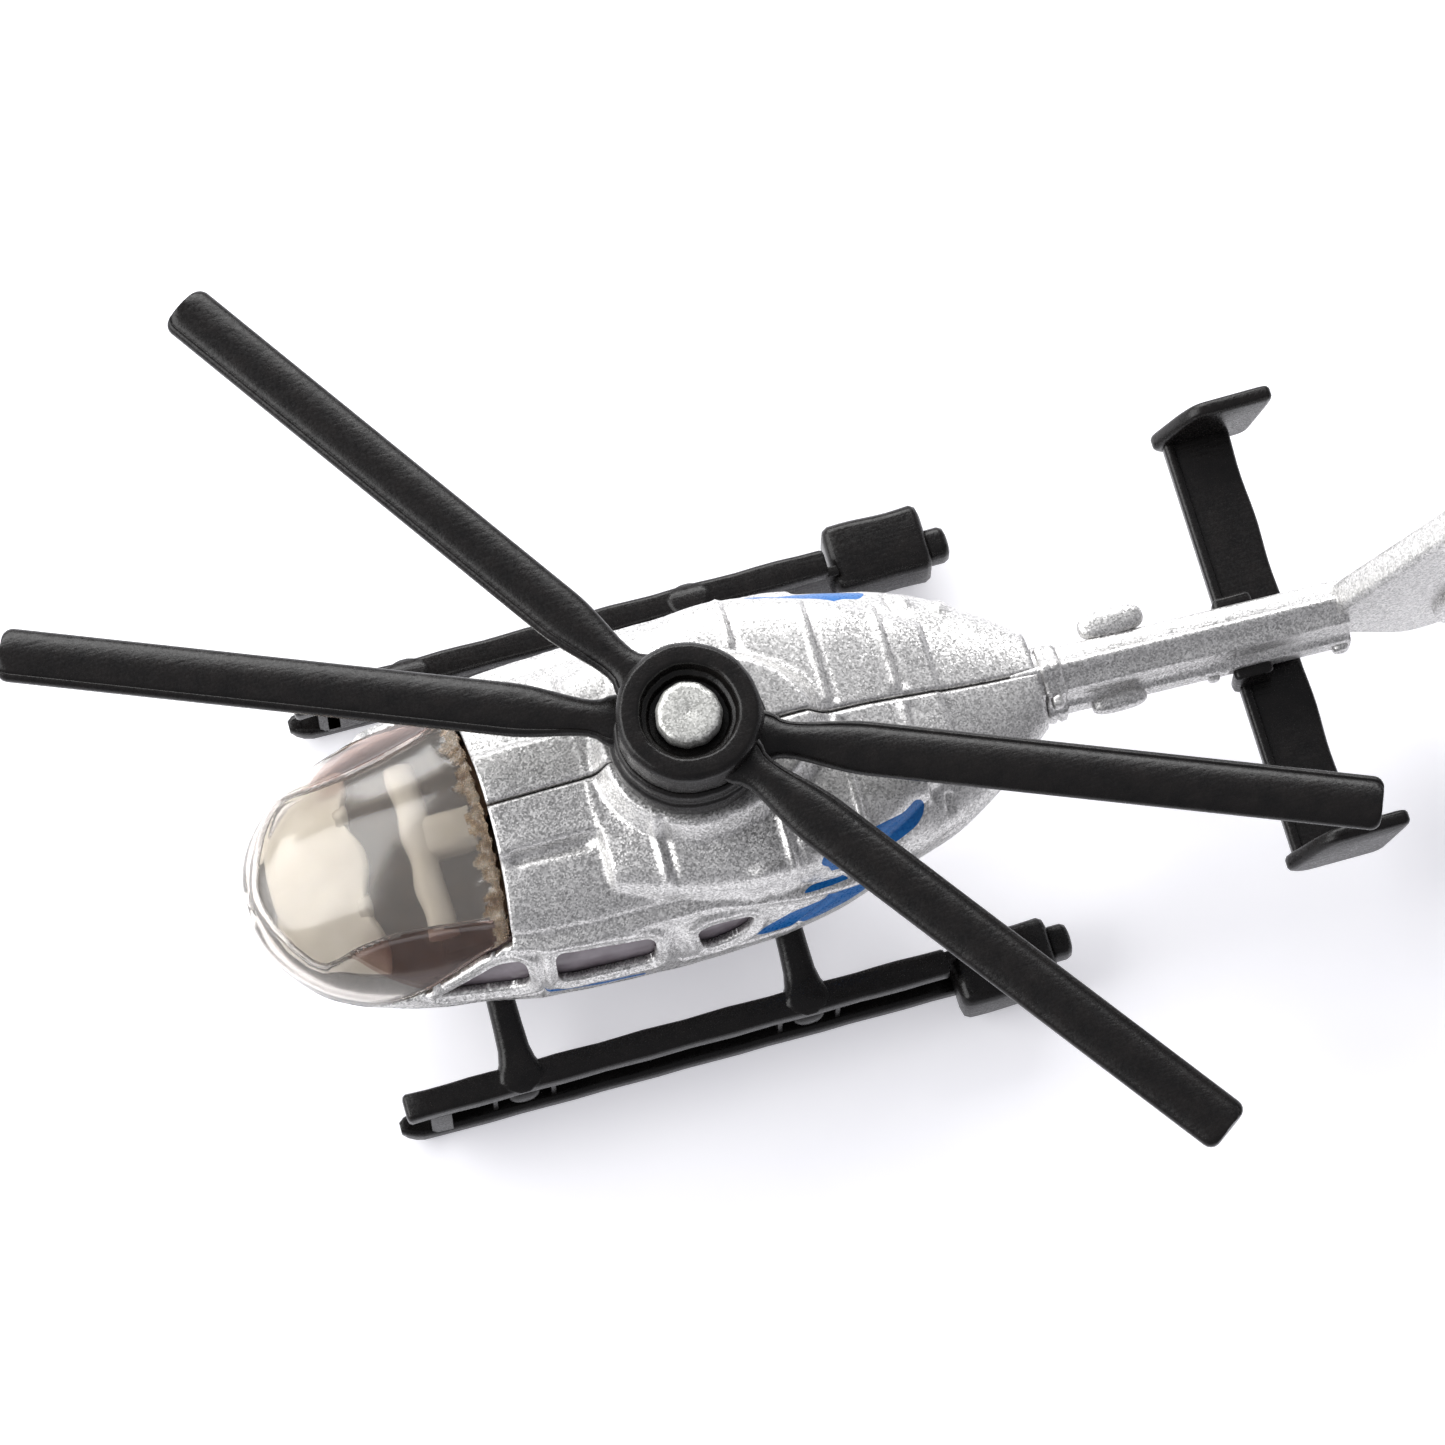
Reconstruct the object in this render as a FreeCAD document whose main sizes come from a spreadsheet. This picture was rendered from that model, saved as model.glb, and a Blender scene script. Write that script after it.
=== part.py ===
import FreeCAD, Part
import math
import os
import Sketcher
from FreeCAD import Placement, Rotation, Vector

# A die-cast toy helicopter. +X points to the nose, +Y to port and +Z up, and Z = 0 is the
# ground under the skids. Every sub-part is drawn about the rotor mast, which stands at X = 0,
# and is then placed so that X = 0 of the whole part is the middle of its length.

doc = FreeCAD.newDocument("toy_helicopter")

SIZES = {
    # fuselage shell
    "wall": 1.0,
    "seam_gap": 0.06,
    "cavity_front": 24.2,
    "cavity_rear": -15.5,
    "canopy_gap": 0.3,
    "canopy_wall": 0.7,
    "roof_front": 11.6,
    "pillar_top_height": 14.6,
    "sill_front": 20.6,
    "sill_height": 7.9,
    "mast_hole_radius": 1.3,
    # tail boom and fin, cast with the starboard half
    "boom_start": -18.6,
    "boom_end": -39.0,
    "boom_width": 3.6,
    "boom_ridge_front": 14.4,
    "boom_ridge_rear": 12.6,
    "boom_eaves_drop": 0.9,
    "boom_depth": 3.8,
    "fin_width": 1.8,
    "fin_root": -37.6,
    "fin_tip_front": -45.4,
    "fin_tip_rear": -49.6,
    "fin_top": 23.2,
    "fin_waist": 15.2,
    "shroud_centre": -46.6,
    "shroud_height": 9.4,
    "shroud_radius": 3.9,
    "shroud_width": 3.0,
    "fan_radius": 2.75,
    "fan_depth": 0.9,
    "fan_hub_radius": 0.95,
    "fan_vanes": 8,
    "vane_width": 0.5,
    # cowling and mast fairing on the roof
    "fairing_foot": 6.3,
    "fairing_radius": 4.7,
    "fairing_bottom": 15.0,
    "fairing_top": 18.6,
    # rotor mast and the pillar that holds its foot
    "mast_radius": 1.25,
    "mast_foot_radius": 2.4,
    "mast_foot_bottom": 13.2,
    "mast_foot_top": 14.2,
    "mast_head_radius": 1.85,
    "mast_head_bottom": 22.65,
    "mast_head_top": 23.75,
    "mast_seat_gap": 0.05,
    "pillar_radius": 4.0,
    "pillar_bottom": 12.6,
    "pillar_height": 3.2,
    # rotors
    "bore_radius": 1.3,
    "lower_ring_radius": 4.45,
    "lower_ring_bottom": 18.75,
    "lower_ring_top": 21.3,
    "upper_ring_radius": 4.0,
    "upper_ring_bottom": 21.4,
    "upper_ring_top": 24.0,
    "counterbore_radius": 2.7,
    "counterbore_floor": 22.5,
    "lower_blade_reach": 38.2,
    "upper_blade_reach": 37.2,
    "lower_blade_bottom": 20.4,
    "upper_blade_bottom": 22.05,
    "blade_thickness": 0.9,
    "blade_width": 3.05,
    "blade_root_width": 1.9,
    "blade_taper": 5.5,
    "blade_tip_corner": 0.5,
    # skids
    "skid_offset": 12.4,
    "skid_width": 1.5,
    "skid_front": 20.6,
    "skid_rear": -12.2,
    "skid_tip_rise": 1.1,
    "rail_thickness": 1.2,
    "step_bottom": 4.3,
    "step_top": 5.5,
    "step_front": 20.1,
    "step_rear": -11.6,
    "web_thickness": 0.6,
    "boss_radius": 0.95,
    "boss_depth": 0.7,
    "front_boss": 13.3,
    "rear_boss": -3.4,
    "strut_length": 1.9,
    "strut_thickness": 1.5,
    "strut_inner": 5.4,
    "strut_knee": 9.4,
    "strut_top": 6.5,
    "strut_knee_height": 5.6,
    "strut_foot_height": 4.2,
    "block_front": -12.6,
    "block_rear": -17.7,
    "block_outer": 14.9,
    "block_inner": 10.9,
    "block_bottom": 0.9,
    "block_top": 4.2,
    "block_pip_rear": -18.9,
    "block_pip_width": 1.9,
    "strut_gap": 0.1,
    # belly plate
    "plate_front": 15.6,
    "plate_rear": -5.6,
    "plate_width": 9.6,
    "plate_bottom": 4.05,
    "plate_thickness": 1.5,
    "plate_corner": 1.6,
    "plate_gap": 0.05,
    "socket_width": 11.6,
    "socket_length": 4.2,
    "socket_top": 7.6,
    # stabilizer
    "bar_front": -31.7,
    "bar_rear": -35.6,
    "bar_top": 9.05,
    "bar_thickness": 1.1,
    "bar_span": 25.6,
    "endplate_front": -30.9,
    "endplate_rear": -38.2,
    "endplate_sweep": 2.6,
    "endplate_top": 12.3,
    "endplate_bottom": 7.4,
    "endplate_thickness": 0.9,
    "saddle_length": 2.6,
    "saddle_thickness": 0.55,
    "saddle_top": 12.0,
    "saddle_gap": 0.08,
    # rivets that close the two halves
    "rivet_radius": 0.9,
    "rivet_starboard_end": -7.0,
    "rivet_port_end": 8.6,
    "rivet_fit": 0.02,
    "rivet_post_radius": 1.9,
    "rivet_post_reach": 7.5,
    "rear_rivet": -9.6,
    "rear_rivet_height": 12.2,
    "front_rivet": 3.4,
    "front_rivet_height": 6.6,
    # cabin interior
    "cabin_gap": 0.25,
    "cabin_rear": 1.2,
    "cabin_front": 22.6,
    "floor_bottom": 7.7,
    "floor_top": 8.3,
    "bulkhead_thickness": 0.8,
    "bulkhead_width": 10.4,
    "bulkhead_top": 14.4,
    "seat_front": 15.6,
    "seat_rear": 9.3,
    "seat_recline": 0.9,
    "seat_width": 4.4,
    "seat_offset": 3.4,
    "seat_top": 9.9,
    "seat_back_top": 13.2,
    "seat_back_thickness": 1.5,
    "console_front": 21.2,
    "console_rear": 18.6,
    "console_top": 10.6,
    "console_shelf": 0.9,
    "console_width": 8.8,
    # side window panes
    "pane_thickness": 0.45,
    "pane_gap": 0.04,
    "pane_front": 17.4,
    "pane_rear": -2.2,
    "pane_bottom": 9.3,
    "pane_top": 14.2,
    # rotor angles at rest, in degrees ahead of the nose line
    "lower_rotor_angle": -22.3,
    "upper_rotor_front_angle": -56.3,
    "upper_rotor_rear_angle": 125.7,
}

# Cross-sections of the fuselage: distance ahead of the mast, half width, and the heights of
# the underside, of the widest level and of the top, with the squareness of the upper half.
STATIONS = [
    ("nose_tip", 25.75, 0.9, 8.5, 9.3, 10.1, 2.0),
    ("nose_cap", 25.2, 2.6, 7.5, 9.2, 11.0, 2.0),
    ("nose_ball", 24.0, 4.65, 6.4, 9.1, 12.0, 2.0),
    ("nose_cheek", 22.2, 6.2, 5.4, 9.0, 13.1, 2.0),
    ("screen_low", 20.1, 7.15, 4.8, 9.0, 14.0, 2.0),
    ("screen_mid", 17.0, 8.0, 4.4, 9.0, 15.05, 2.0),
    ("screen_high", 13.6, 8.55, 4.3, 9.1, 15.95, 2.2),
    ("roof_lip", 11.0, 9.1, 4.3, 9.1, 16.4, 2.6),
    ("cabin_door", 7.0, 9.35, 4.3, 9.0, 16.5, 2.8),
    ("mast_ahead", 2.0, 9.5, 4.3, 9.1, 16.6, 2.8),
    ("mast_behind", -2.7, 9.45, 4.6, 9.8, 16.7, 2.7),
    ("engine_bay", -6.2, 9.1, 5.5, 10.9, 16.8, 2.5),
    ("engine_rear", -9.8, 8.25, 7.0, 11.9, 16.5, 2.3),
    ("cone_front", -13.6, 7.15, 8.5, 12.4, 15.7, 2.2),
    ("cone_rear", -16.9, 5.3, 9.7, 12.6, 14.8, 2.2),
    ("cone_end", -20.2, 2.75, 10.5, 12.5, 14.2, 2.2),
]

# Cross-sections of the raised engine cowling on the roof: distance ahead of the mast, half
# width at its foot, and height of its top.
COWLING = [
    ("cowl_step", 6.2, 6.4, 17.0),
    ("cowl_front", 2.5, 7.6, 17.3),
    ("cowl_mid", -3.0, 8.5, 17.4),
    ("cowl_rear", -9.0, 7.2, 17.0),
    ("cowl_end", -14.4, 4.4, 15.7),
]
COWLING_FOOT = 13.4
COWLING_SQUARENESS = 2.8
LOWER_SQUARENESS = 2.5

# Window openings in each cabin side, as outlines of (distance ahead of the mast, height).
WINDOWS = [
    [(16.9, 9.9), (15.3, 11.1), (13.3, 12.5), (11.7, 13.1), (11.6, 10.7), (13.2, 10.0)],
    [(10.1, 13.4), (4.4, 13.1), (4.6, 10.4), (10.1, 10.4)],
    [(2.1, 12.7), (1.2, 13.0), (-1.3, 12.9), (-0.9, 11.6), (0.4, 10.6), (1.8, 10.4)],
]

WIDE = 60.0  # longer than any sub-part, for cutting tools


# ---------------------------------------------------------------- spreadsheet
sheet = doc.addObject("Spreadsheet::Sheet", "Sizes")


def fill_sheet():
    row = 1
    for alias, value in SIZES.items():
        put_cell(row, alias, value)
        row += 1
    for name, *numbers in STATIONS:
        keys = ("x", "half_width", "bottom", "widest", "top", "squareness")
        for key, value in zip(keys, numbers):
            put_cell(row, f"{name}_{key}", value)
            row += 1
    for name, *numbers in COWLING:
        for key, value in zip(("x", "half_width", "top"), numbers):
            put_cell(row, f"{name}_{key}", value)
            row += 1
    doc.recompute()


def put_cell(row, alias, value):
    sheet.set(f"A{row}", alias)
    sheet.set(f"B{row}", str(value))
    sheet.setAlias(f"B{row}", alias)


def size(alias):
    return float(sheet.get(alias))


fill_sheet()

# The rotor sweep reaches furthest ahead along the lower rotor's blade, and the tail shroud
# reaches furthest behind, so the mast stands this far ahead of the middle.
blade_angle = math.radians(size("lower_rotor_angle"))
tip_half_width = size("blade_width") / 2 - size("blade_tip_corner")
blade_ahead = (size("lower_blade_reach") * math.cos(blade_angle)
               - tip_half_width * math.sin(blade_angle))
tail_behind = size("shroud_radius") - size("shroud_centre")
AT_MAST = Placement(Vector((tail_behind - blade_ahead) / 2, 0, 0), Rotation())


# ---------------------------------------------------------------- shared helpers
def feature(label, shape):
    item = doc.addObject("Part::Feature", label)
    item.Label = label
    item.Shape = shape
    item.Placement = AT_MAST
    return item


def body(label):
    item = doc.addObject("PartDesign::Body", label)
    item.Label = label
    item.Placement = AT_MAST
    return item


def plane(owner, role):
    return next(o for o in owner.Origin.OriginFeatures if o.Role == role)


def sketch(owner, name, role, level="0"):
    """An empty sketch on one of the body's own origin planes, level along its normal."""
    item = owner.newObject("Sketcher::SketchObject", name)
    item.AttachmentSupport = [(plane(owner, role), "")]
    item.MapMode = "FlatFace"
    item.setExpression(".AttachmentOffset.Base.z", level)
    return item


def pin_point(item, geometry, corner, x, y, tag):
    """Hold a sketch point at the coordinates that two sheet expressions give."""
    for kind, expression in (("DistanceX", x), ("DistanceY", y)):
        index = item.addConstraint(Sketcher.Constraint(kind, -1, 1, geometry, corner, 1.0))
        item.renameConstraint(index, f"{tag}_{kind[-1].lower()}")
        item.setExpression(f"Constraints.{tag}_{kind[-1].lower()}", expression)


def polygon(item, points, tag="corner"):
    """A closed outline whose corners are pairs of sheet expressions."""
    first = item.GeometryCount
    count = len(points)
    turns = [math.tau * k / count for k in range(count)]
    seeds = [Vector(math.cos(turn), math.sin(turn), 0) for turn in turns]
    for k in range(count):
        item.addGeometry(Part.LineSegment(seeds[k], seeds[(k + 1) % count]), False)
    for k in range(count):
        following = first + (k + 1) % count
        item.addConstraint(Sketcher.Constraint("Coincident", first + k, 2, following, 1))
    for k, (x, y) in enumerate(points):
        pin_point(item, first + k, 1, x, y, f"{tag}{k}")


def rectangle(item, left, right, bottom, top, tag="corner"):
    polygon(item, [(left, bottom), (right, bottom), (right, top), (left, top)], tag)


def circle(item, x, y, radius, tag="circle"):
    geometry = item.addGeometry(Part.Circle(Vector(0, 0, 0), Vector(0, 0, 1), 1.0), False)
    index = item.addConstraint(Sketcher.Constraint("Radius", geometry, 1.0))
    item.renameConstraint(index, f"{tag}_radius")
    item.setExpression(f"Constraints.{tag}_radius", radius)
    pin_point(item, geometry, 3, x, y, tag)


def pad(owner, name, profile, length, both_ways=False, backwards=False):
    item = owner.newObject("PartDesign::Pad", name)
    item.Profile = profile
    item.setExpression("Length", length)
    if both_ways:
        item.Midplane = True
    item.Reversed = backwards
    return item


def pocket(owner, name, profile, length, backwards=False):
    """Cut a sketch into the body, and stop if nothing was cut away."""
    doc.recompute()
    before = owner.Shape.Volume
    item = owner.newObject("PartDesign::Pocket", name)
    item.Profile = profile
    item.setExpression("Length", length)
    item.Reversed = backwards
    doc.recompute()
    if owner.Shape.Volume > before - 1e-3:
        raise RuntimeError(f"{owner.Label}: {name} cuts nothing")
    return item


def box(x0, x1, y0, y1, z0, z1):
    return Part.makeBox(x1 - x0, y1 - y0, z1 - z0, Vector(x0, y0, z0))


def side_prism(outline, y0, y1):
    """A solid whose side view is the outline, from y0 to y1."""
    corners = [Vector(x, y0, z) for x, z in outline]
    return Part.Face(Part.makePolygon(corners + corners[:1])).extrude(Vector(0, y1 - y0, 0))


def port_side(y0, y1, starboard):
    """The same band of widths on port, or mirrored to starboard."""
    return (-y1, -y0) if starboard else (y0, y1)


# ---------------------------------------------------------------- fuselage surface
def section_wire(x, half_width, bottom, widest, top, squareness, inset=0.0):
    """A closed, smooth cross-section: a superellipse with its own upper and lower halves."""
    half_width -= inset
    rise = top - inset - widest
    drop = widest - bottom - inset
    points = []
    count = 24
    for k in range(count):
        angle = math.tau * k / count
        upper = math.sin(angle) >= 0
        power = 2.0 / (squareness if upper else LOWER_SQUARENESS)
        across = math.copysign(abs(math.cos(angle)) ** power, math.cos(angle)) * half_width
        up = math.copysign(abs(math.sin(angle)) ** power, math.sin(angle)) * (rise if upper else drop)
        points.append(Vector(x, across, widest + up))
    curve = Part.BSplineCurve()
    curve.interpolate(points, PeriodicFlag=True)
    return Part.Wire(curve.toShape())


def station_values(name):
    keys = ("x", "half_width", "bottom", "widest", "top", "squareness")
    return [size(f"{name}_{key}") for key in keys]


def fuselage_solid(inset=0.0):
    """The whole fuselage from nose to tail cone, inset by a wall all round."""
    wires = []
    for name, *_ in STATIONS:
        values = station_values(name)
        if values[1] - inset < 0.5:
            continue
        wires.append(section_wire(*values, inset=inset))
    return Part.makeLoft(wires, True, False, False, 3)


def cowling_solid():
    wires = []
    for name, *_ in COWLING:
        x, half_width, top = (size(f"{name}_{key}") for key in ("x", "half_width", "top"))
        wires.append(section_wire(x, half_width, COWLING_FOOT - 3.0, COWLING_FOOT, top, COWLING_SQUARENESS))
    loft = Part.makeLoft(wires, True, False, False, 3)
    return loft.common(box(-WIDE, WIDE, -WIDE, WIDE, COWLING_FOOT, WIDE))


def canopy_region(gap=0.0):
    """The space ahead of the roof and above the sill, which the clear nose fills."""
    roof_front = size("roof_front") + gap
    outline = [
        (roof_front, WIDE),
        (roof_front, size("pillar_top_height")),
        (size("sill_front") + gap, size("sill_height") + gap),
        (WIDE, size("sill_height") + gap),
        (WIDE, WIDE),
    ]
    return side_prism(outline, -WIDE, WIDE)


outer = fuselage_solid()
inner = fuselage_solid(size("wall")).common(
    box(size("cavity_rear"), size("cavity_front"), -WIDE, WIDE, 0, WIDE))
roofed = outer.fuse(cowling_solid())
fairing_height = size("fairing_top") - size("fairing_bottom")
fairing = Part.makeCone(size("fairing_foot"), size("fairing_radius"), fairing_height,
                        Vector(0, 0, size("fairing_bottom")))
roofed = roofed.fuse(fairing)


# ---------------------------------------------------------------- tail boom and fin
def boom_solid():
    """A house-shaped bar that runs back from the tail cone."""
    wires = []
    for place, ridge in (("boom_start", "boom_ridge_front"), ("boom_end", "boom_ridge_rear")):
        x = size(place)
        top = size(ridge)
        side = size("boom_width") / 2
        eaves = top - size("boom_eaves_drop")
        bottom = top - size("boom_depth")
        corners = [Vector(x, 0, top), Vector(x, side, eaves), Vector(x, side, bottom + 0.3),
                   Vector(x, side - 0.4, bottom), Vector(x, 0.4 - side, bottom),
                   Vector(x, -side, bottom + 0.3), Vector(x, -side, eaves)]
        wires.append(Part.makePolygon(corners + corners[:1]))
    return Part.makeLoft(wires, True, True)


def fin_solid():
    """The upright fin with a round shroud at its foot and a fan in relief on both sides."""
    half = size("fin_width") / 2
    centre = size("shroud_centre")
    height = size("shroud_height")
    outline = [
        (size("fin_root"), size("boom_ridge_rear") - 3.6),
        (size("fin_root"), size("boom_ridge_rear") + 0.1),
        (size("fin_tip_front"), size("fin_top")),
        (size("fin_tip_rear"), size("fin_top") + 0.3),
        (centre - 3.2, size("fin_waist")),
        (centre - 3.2, height - 3.2),
        (centre + 3.0, height - 4.2),
    ]
    fin = side_prism(outline, -half, half)
    width = size("shroud_width")
    across = Vector(0, 1, 0)
    disc = Part.makeCylinder(size("shroud_radius"), width, Vector(centre, -width / 2, height), across)
    solid = fin.fuse(disc)
    depth = size("fan_depth")
    for start in (-width / 2, width / 2 - depth):
        well = Part.makeCylinder(size("fan_radius"), depth, Vector(centre, start, height), across)
        hub = Part.makeCylinder(size("fan_hub_radius"), depth, Vector(centre, start, height), across)
        solid = solid.cut(well).fuse(hub)
        for vane in fan_vanes(start, depth):
            solid = solid.fuse(vane)
    return solid.removeSplitter()


def fan_vanes(start, depth):
    """The radial vanes in one of the shroud's two wells, a little below its rim."""
    rim_gap = 0.1 * depth
    half = size("vane_width") / 2
    low = start + rim_gap if start < 0 else start
    vanes = []
    count = int(size("fan_vanes"))
    for k in range(count):
        vane = box(-half, half, low, low + depth - rim_gap, half, size("fan_radius") + rim_gap)
        vane.rotate(Vector(0, 0, 0), Vector(0, 1, 0), 360.0 * k / count)
        vane.translate(Vector(size("shroud_centre"), 0, size("shroud_height")))
        vanes.append(vane)
    return vanes


# ---------------------------------------------------------------- the two body halves
def rivet_places():
    return [(size(f"{name}_rivet"), size(f"{name}_rivet_height")) for name in ("front", "rear")]


def across_cylinder(radius, x, z, y0, y1):
    return Part.makeCylinder(radius, y1 - y0, Vector(x, y0, z), Vector(0, 1, 0))


def strut_tool(gap, starboard):
    """Space that the skid struts take where they pass through the lower cabin side."""
    tools = []
    half = size("strut_length") / 2 + gap
    thick = size("strut_thickness") / 2 + gap
    for boss in ("front_boss", "rear_boss"):
        outline = strut_outline(thick, starboard)
        corners = [Vector(size(boss) - half, y, z) for y, z in outline]
        face = Part.Face(Part.makePolygon(corners + corners[:1]))
        tools.append(face.extrude(Vector(2 * half, 0, 0)))
    return tools[0].fuse(tools[1])


def strut_outline(thick, starboard):
    sign = -1 if starboard else 1
    run = [(size("strut_inner") - (thick - size("strut_thickness") / 2), size("strut_top")),
           (size("strut_knee"), size("strut_knee_height")),
           (size("skid_offset"), size("strut_foot_height"))]
    upper = [(sign * y, z + thick) for y, z in run]
    lower = [(sign * y, z - thick) for y, z in reversed(run)]
    return upper + lower


def belly_recess():
    gap = size("plate_gap")
    half = size("plate_width") / 2 + gap
    top = size("plate_bottom") + size("plate_thickness") + gap
    recess = box(size("plate_rear") - gap, size("plate_front") + gap, -half, half, 0, top)
    return recess.fuse(socket_blocks(gap))


def socket_blocks(gap):
    blocks = []
    for boss in ("front_boss", "rear_boss"):
        middle = size(boss)
        half_long = size("socket_length") / 2 + gap
        half_wide = size("socket_width") / 2 + gap
        top = size("socket_top") + gap
        base = size("plate_bottom") + size("plate_thickness") / 2
        blocks.append(box(middle - half_long, middle + half_long, -half_wide, half_wide, base, top))
    return blocks[0].fuse(blocks[1])


def body_half(starboard):
    """One casting: the skin on its side of the seam, with its posts, less every opening."""
    gap = size("seam_gap") / 2
    side = box(-WIDE, WIDE, *port_side(gap, WIDE, starboard), -WIDE, WIDE)
    solid = roofed.cut(inner)
    post_reach = port_side(0, size("rivet_post_reach"), starboard)
    posts = [across_cylinder(size("rivet_post_radius"), x, z, *post_reach) for x, z in rivet_places()]
    pillar_foot = Vector(0, 0, size("pillar_bottom"))
    pillar = Part.makeCylinder(size("pillar_radius"), size("pillar_height"), pillar_foot)
    for lump in posts + [pillar]:
        solid = solid.fuse(lump.common(inner))
    solid = solid.common(side)
    solid = solid.cut(canopy_region())
    for outline in WINDOWS:
        solid = solid.cut(side_prism(outline, *port_side(5.0, 12.0, starboard)))
    below_pillar = pillar_foot - Vector(0, 0, 1.0)
    solid = solid.cut(Part.makeCylinder(size("mast_hole_radius"), WIDE, below_pillar))
    seat_gap = size("mast_seat_gap")
    seat_height = size("mast_foot_top") - size("mast_foot_bottom") + 2 * seat_gap
    seat_bottom = Vector(0, 0, size("mast_foot_bottom") - seat_gap)
    solid = solid.cut(Part.makeCylinder(size("mast_foot_radius") + seat_gap, seat_height, seat_bottom))
    solid = solid.cut(belly_recess())
    solid = solid.cut(strut_tool(size("strut_gap"), starboard))
    for x, z in rivet_places():
        solid = solid.cut(across_cylinder(size("rivet_radius") + size("rivet_fit"), x, z, -WIDE, WIDE))
    return solid


def main_solid(shape):
    """The largest solid of a boolean's result."""
    return max(shape.Solids, key=lambda s: s.Volume)


def make_body_halves():
    port = body_half(False).cut(box(-WIDE, size("boom_start") - 1.5, -WIDE, WIDE, 0, WIDE))
    feature("body_port", main_solid(port))
    starboard = body_half(True)
    tail = boom_solid().fuse(fin_solid())
    clearance = body_half_space()
    starboard = starboard.fuse(tail.cut(clearance))
    feature("body_starboard", main_solid(starboard.removeSplitter()))


def body_half_space():
    """The port half's share of the tail cone, which the boom's root keeps clear of."""
    gap = size("seam_gap") / 2
    return box(size("boom_start") - 1.5 - 0.25, WIDE, -gap, WIDE, 0, WIDE)


# ---------------------------------------------------------------- clear parts
def make_canopy():
    """The smoke-tinted nose, an even shell of the fuselage's own shape ahead of the roof."""
    shell = outer.cut(fuselage_solid(size("canopy_wall")))
    clear = shell.common(canopy_region(size("canopy_gap")))
    feature("canopy", main_solid(clear))


def make_side_panes():
    """Tinted strips that lie behind the window openings, against the inside of the skin."""
    near = fuselage_solid(size("wall") + size("pane_gap"))
    far = fuselage_solid(size("wall") + size("pane_gap") + size("pane_thickness"))
    strip = near.cut(far)
    outline = [
        (size("pane_front"), size("pane_bottom")),
        (size("pane_front") - 2.6, size("pane_top")),
        (size("pane_rear"), size("pane_top")),
        (size("pane_rear"), size("pane_bottom")),
    ]
    for label, starboard in (("side_windows_port", False), ("side_windows_starboard", True)):
        band = side_prism(outline, *port_side(3.0, 12.0, starboard))
        pane = strip.common(band)
        for x, z in rivet_places():
            pane = pane.cut(across_cylinder(size("rivet_post_radius") + 0.1, x, z, -12, 12))
        feature(label, main_solid(pane))


def make_cabin_interior():
    """Floor, two seats, rear bulkhead and dashboard, moulded as one piece."""
    floor = box(size("cabin_rear"), size("cabin_front"), -WIDE, WIDE,
                size("floor_bottom"), size("floor_top"))
    bulkhead_half = size("bulkhead_width") / 2
    bulkhead = box(size("cabin_rear"), size("cabin_rear") + size("bulkhead_thickness"),
                   -bulkhead_half, bulkhead_half, size("floor_bottom"), size("bulkhead_top"))
    console = side_prism([
        (size("console_rear"), size("floor_bottom")),
        (size("console_rear"), size("console_top")),
        (size("console_rear") + size("console_shelf"), size("console_top")),
        (size("console_front"), size("floor_top")),
        (size("console_front"), size("floor_bottom")),
    ], -size("console_width") / 2, size("console_width") / 2)
    lumps = [bulkhead, console]
    for sign in (-1, 1):
        middle = sign * size("seat_offset")
        half = size("seat_width") / 2
        back = size("seat_rear") + size("seat_back_thickness")
        seat = side_prism([
            (size("seat_rear"), size("floor_bottom")),
            (size("seat_rear"), size("seat_back_top")),
            (back, size("seat_back_top")),
            (back + size("seat_recline"), size("seat_top")),
            (size("seat_front"), size("seat_top") + 0.3),
            (size("seat_front"), size("floor_bottom")),
        ], middle - half, middle + half)
        lumps.append(seat)
    solid = floor
    for lump in lumps:
        solid = solid.fuse(lump)
    room = fuselage_solid(size("wall") + size("pane_gap") + size("pane_thickness") + size("cabin_gap"))
    solid = solid.common(room)
    for x, z in rivet_places():
        solid = solid.cut(across_cylinder(size("rivet_post_radius") + 0.15, x, z, -12, 12))
    solid = solid.cut(socket_blocks(0.1))
    feature("cabin_interior", main_solid(solid.removeSplitter()))


# ---------------------------------------------------------------- rotor mast and rotors
def make_mast():
    """A pin with a flanged foot held between the halves and a riveted head above the rotors."""
    owner = body("rotor_mast")
    profile = sketch(owner, "mast_outline", "XZ_Plane")
    polygon(profile, [
        ("0 mm", "Sizes.mast_foot_bottom"),
        ("Sizes.mast_foot_radius", "Sizes.mast_foot_bottom"),
        ("Sizes.mast_foot_radius", "Sizes.mast_foot_top"),
        ("Sizes.mast_radius", "Sizes.mast_foot_top"),
        ("Sizes.mast_radius", "Sizes.mast_head_bottom"),
        ("Sizes.mast_head_radius", "Sizes.mast_head_bottom"),
        ("Sizes.mast_head_radius", "Sizes.mast_head_top - 0.3"),
        ("Sizes.mast_head_radius - 0.3", "Sizes.mast_head_top"),
        ("0 mm", "Sizes.mast_head_top"),
    ])
    turned = owner.newObject("PartDesign::Revolution", "turned_pin")
    turned.Profile = profile
    turned.ReferenceAxis = (profile, ["V_Axis"])
    turned.Angle = 360.0


def blade_corners(angle, reach, ring):
    """Corners of one blade's plan, as sheet expressions turned by a sheet angle."""
    root = f"({ring} - 0.8)"
    broad = f"({ring} + Sizes.blade_taper)"
    tip = f"({reach})"
    slim = "Sizes.blade_root_width / 2"
    full = "Sizes.blade_width / 2"
    corner = "Sizes.blade_tip_corner"
    along_across = [
        (root, f"-{slim}"), (ring, f"-{slim}"), (broad, f"-{full}"),
        (f"({tip} - {corner})", f"-{full}"), (tip, f"-({full} - {corner})"),
        (tip, f"({full} - {corner})"), (f"({tip} - {corner})", full),
        (broad, full), (ring, slim), (root, slim),
    ]
    turned = []
    for along, across in along_across:
        x = f"{along} * cos({angle} * 1 deg) - ({across}) * sin({angle} * 1 deg)"
        y = f"{along} * sin({angle} * 1 deg) + ({across}) * cos({angle} * 1 deg)"
        turned.append((x, y))
    return turned


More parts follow.
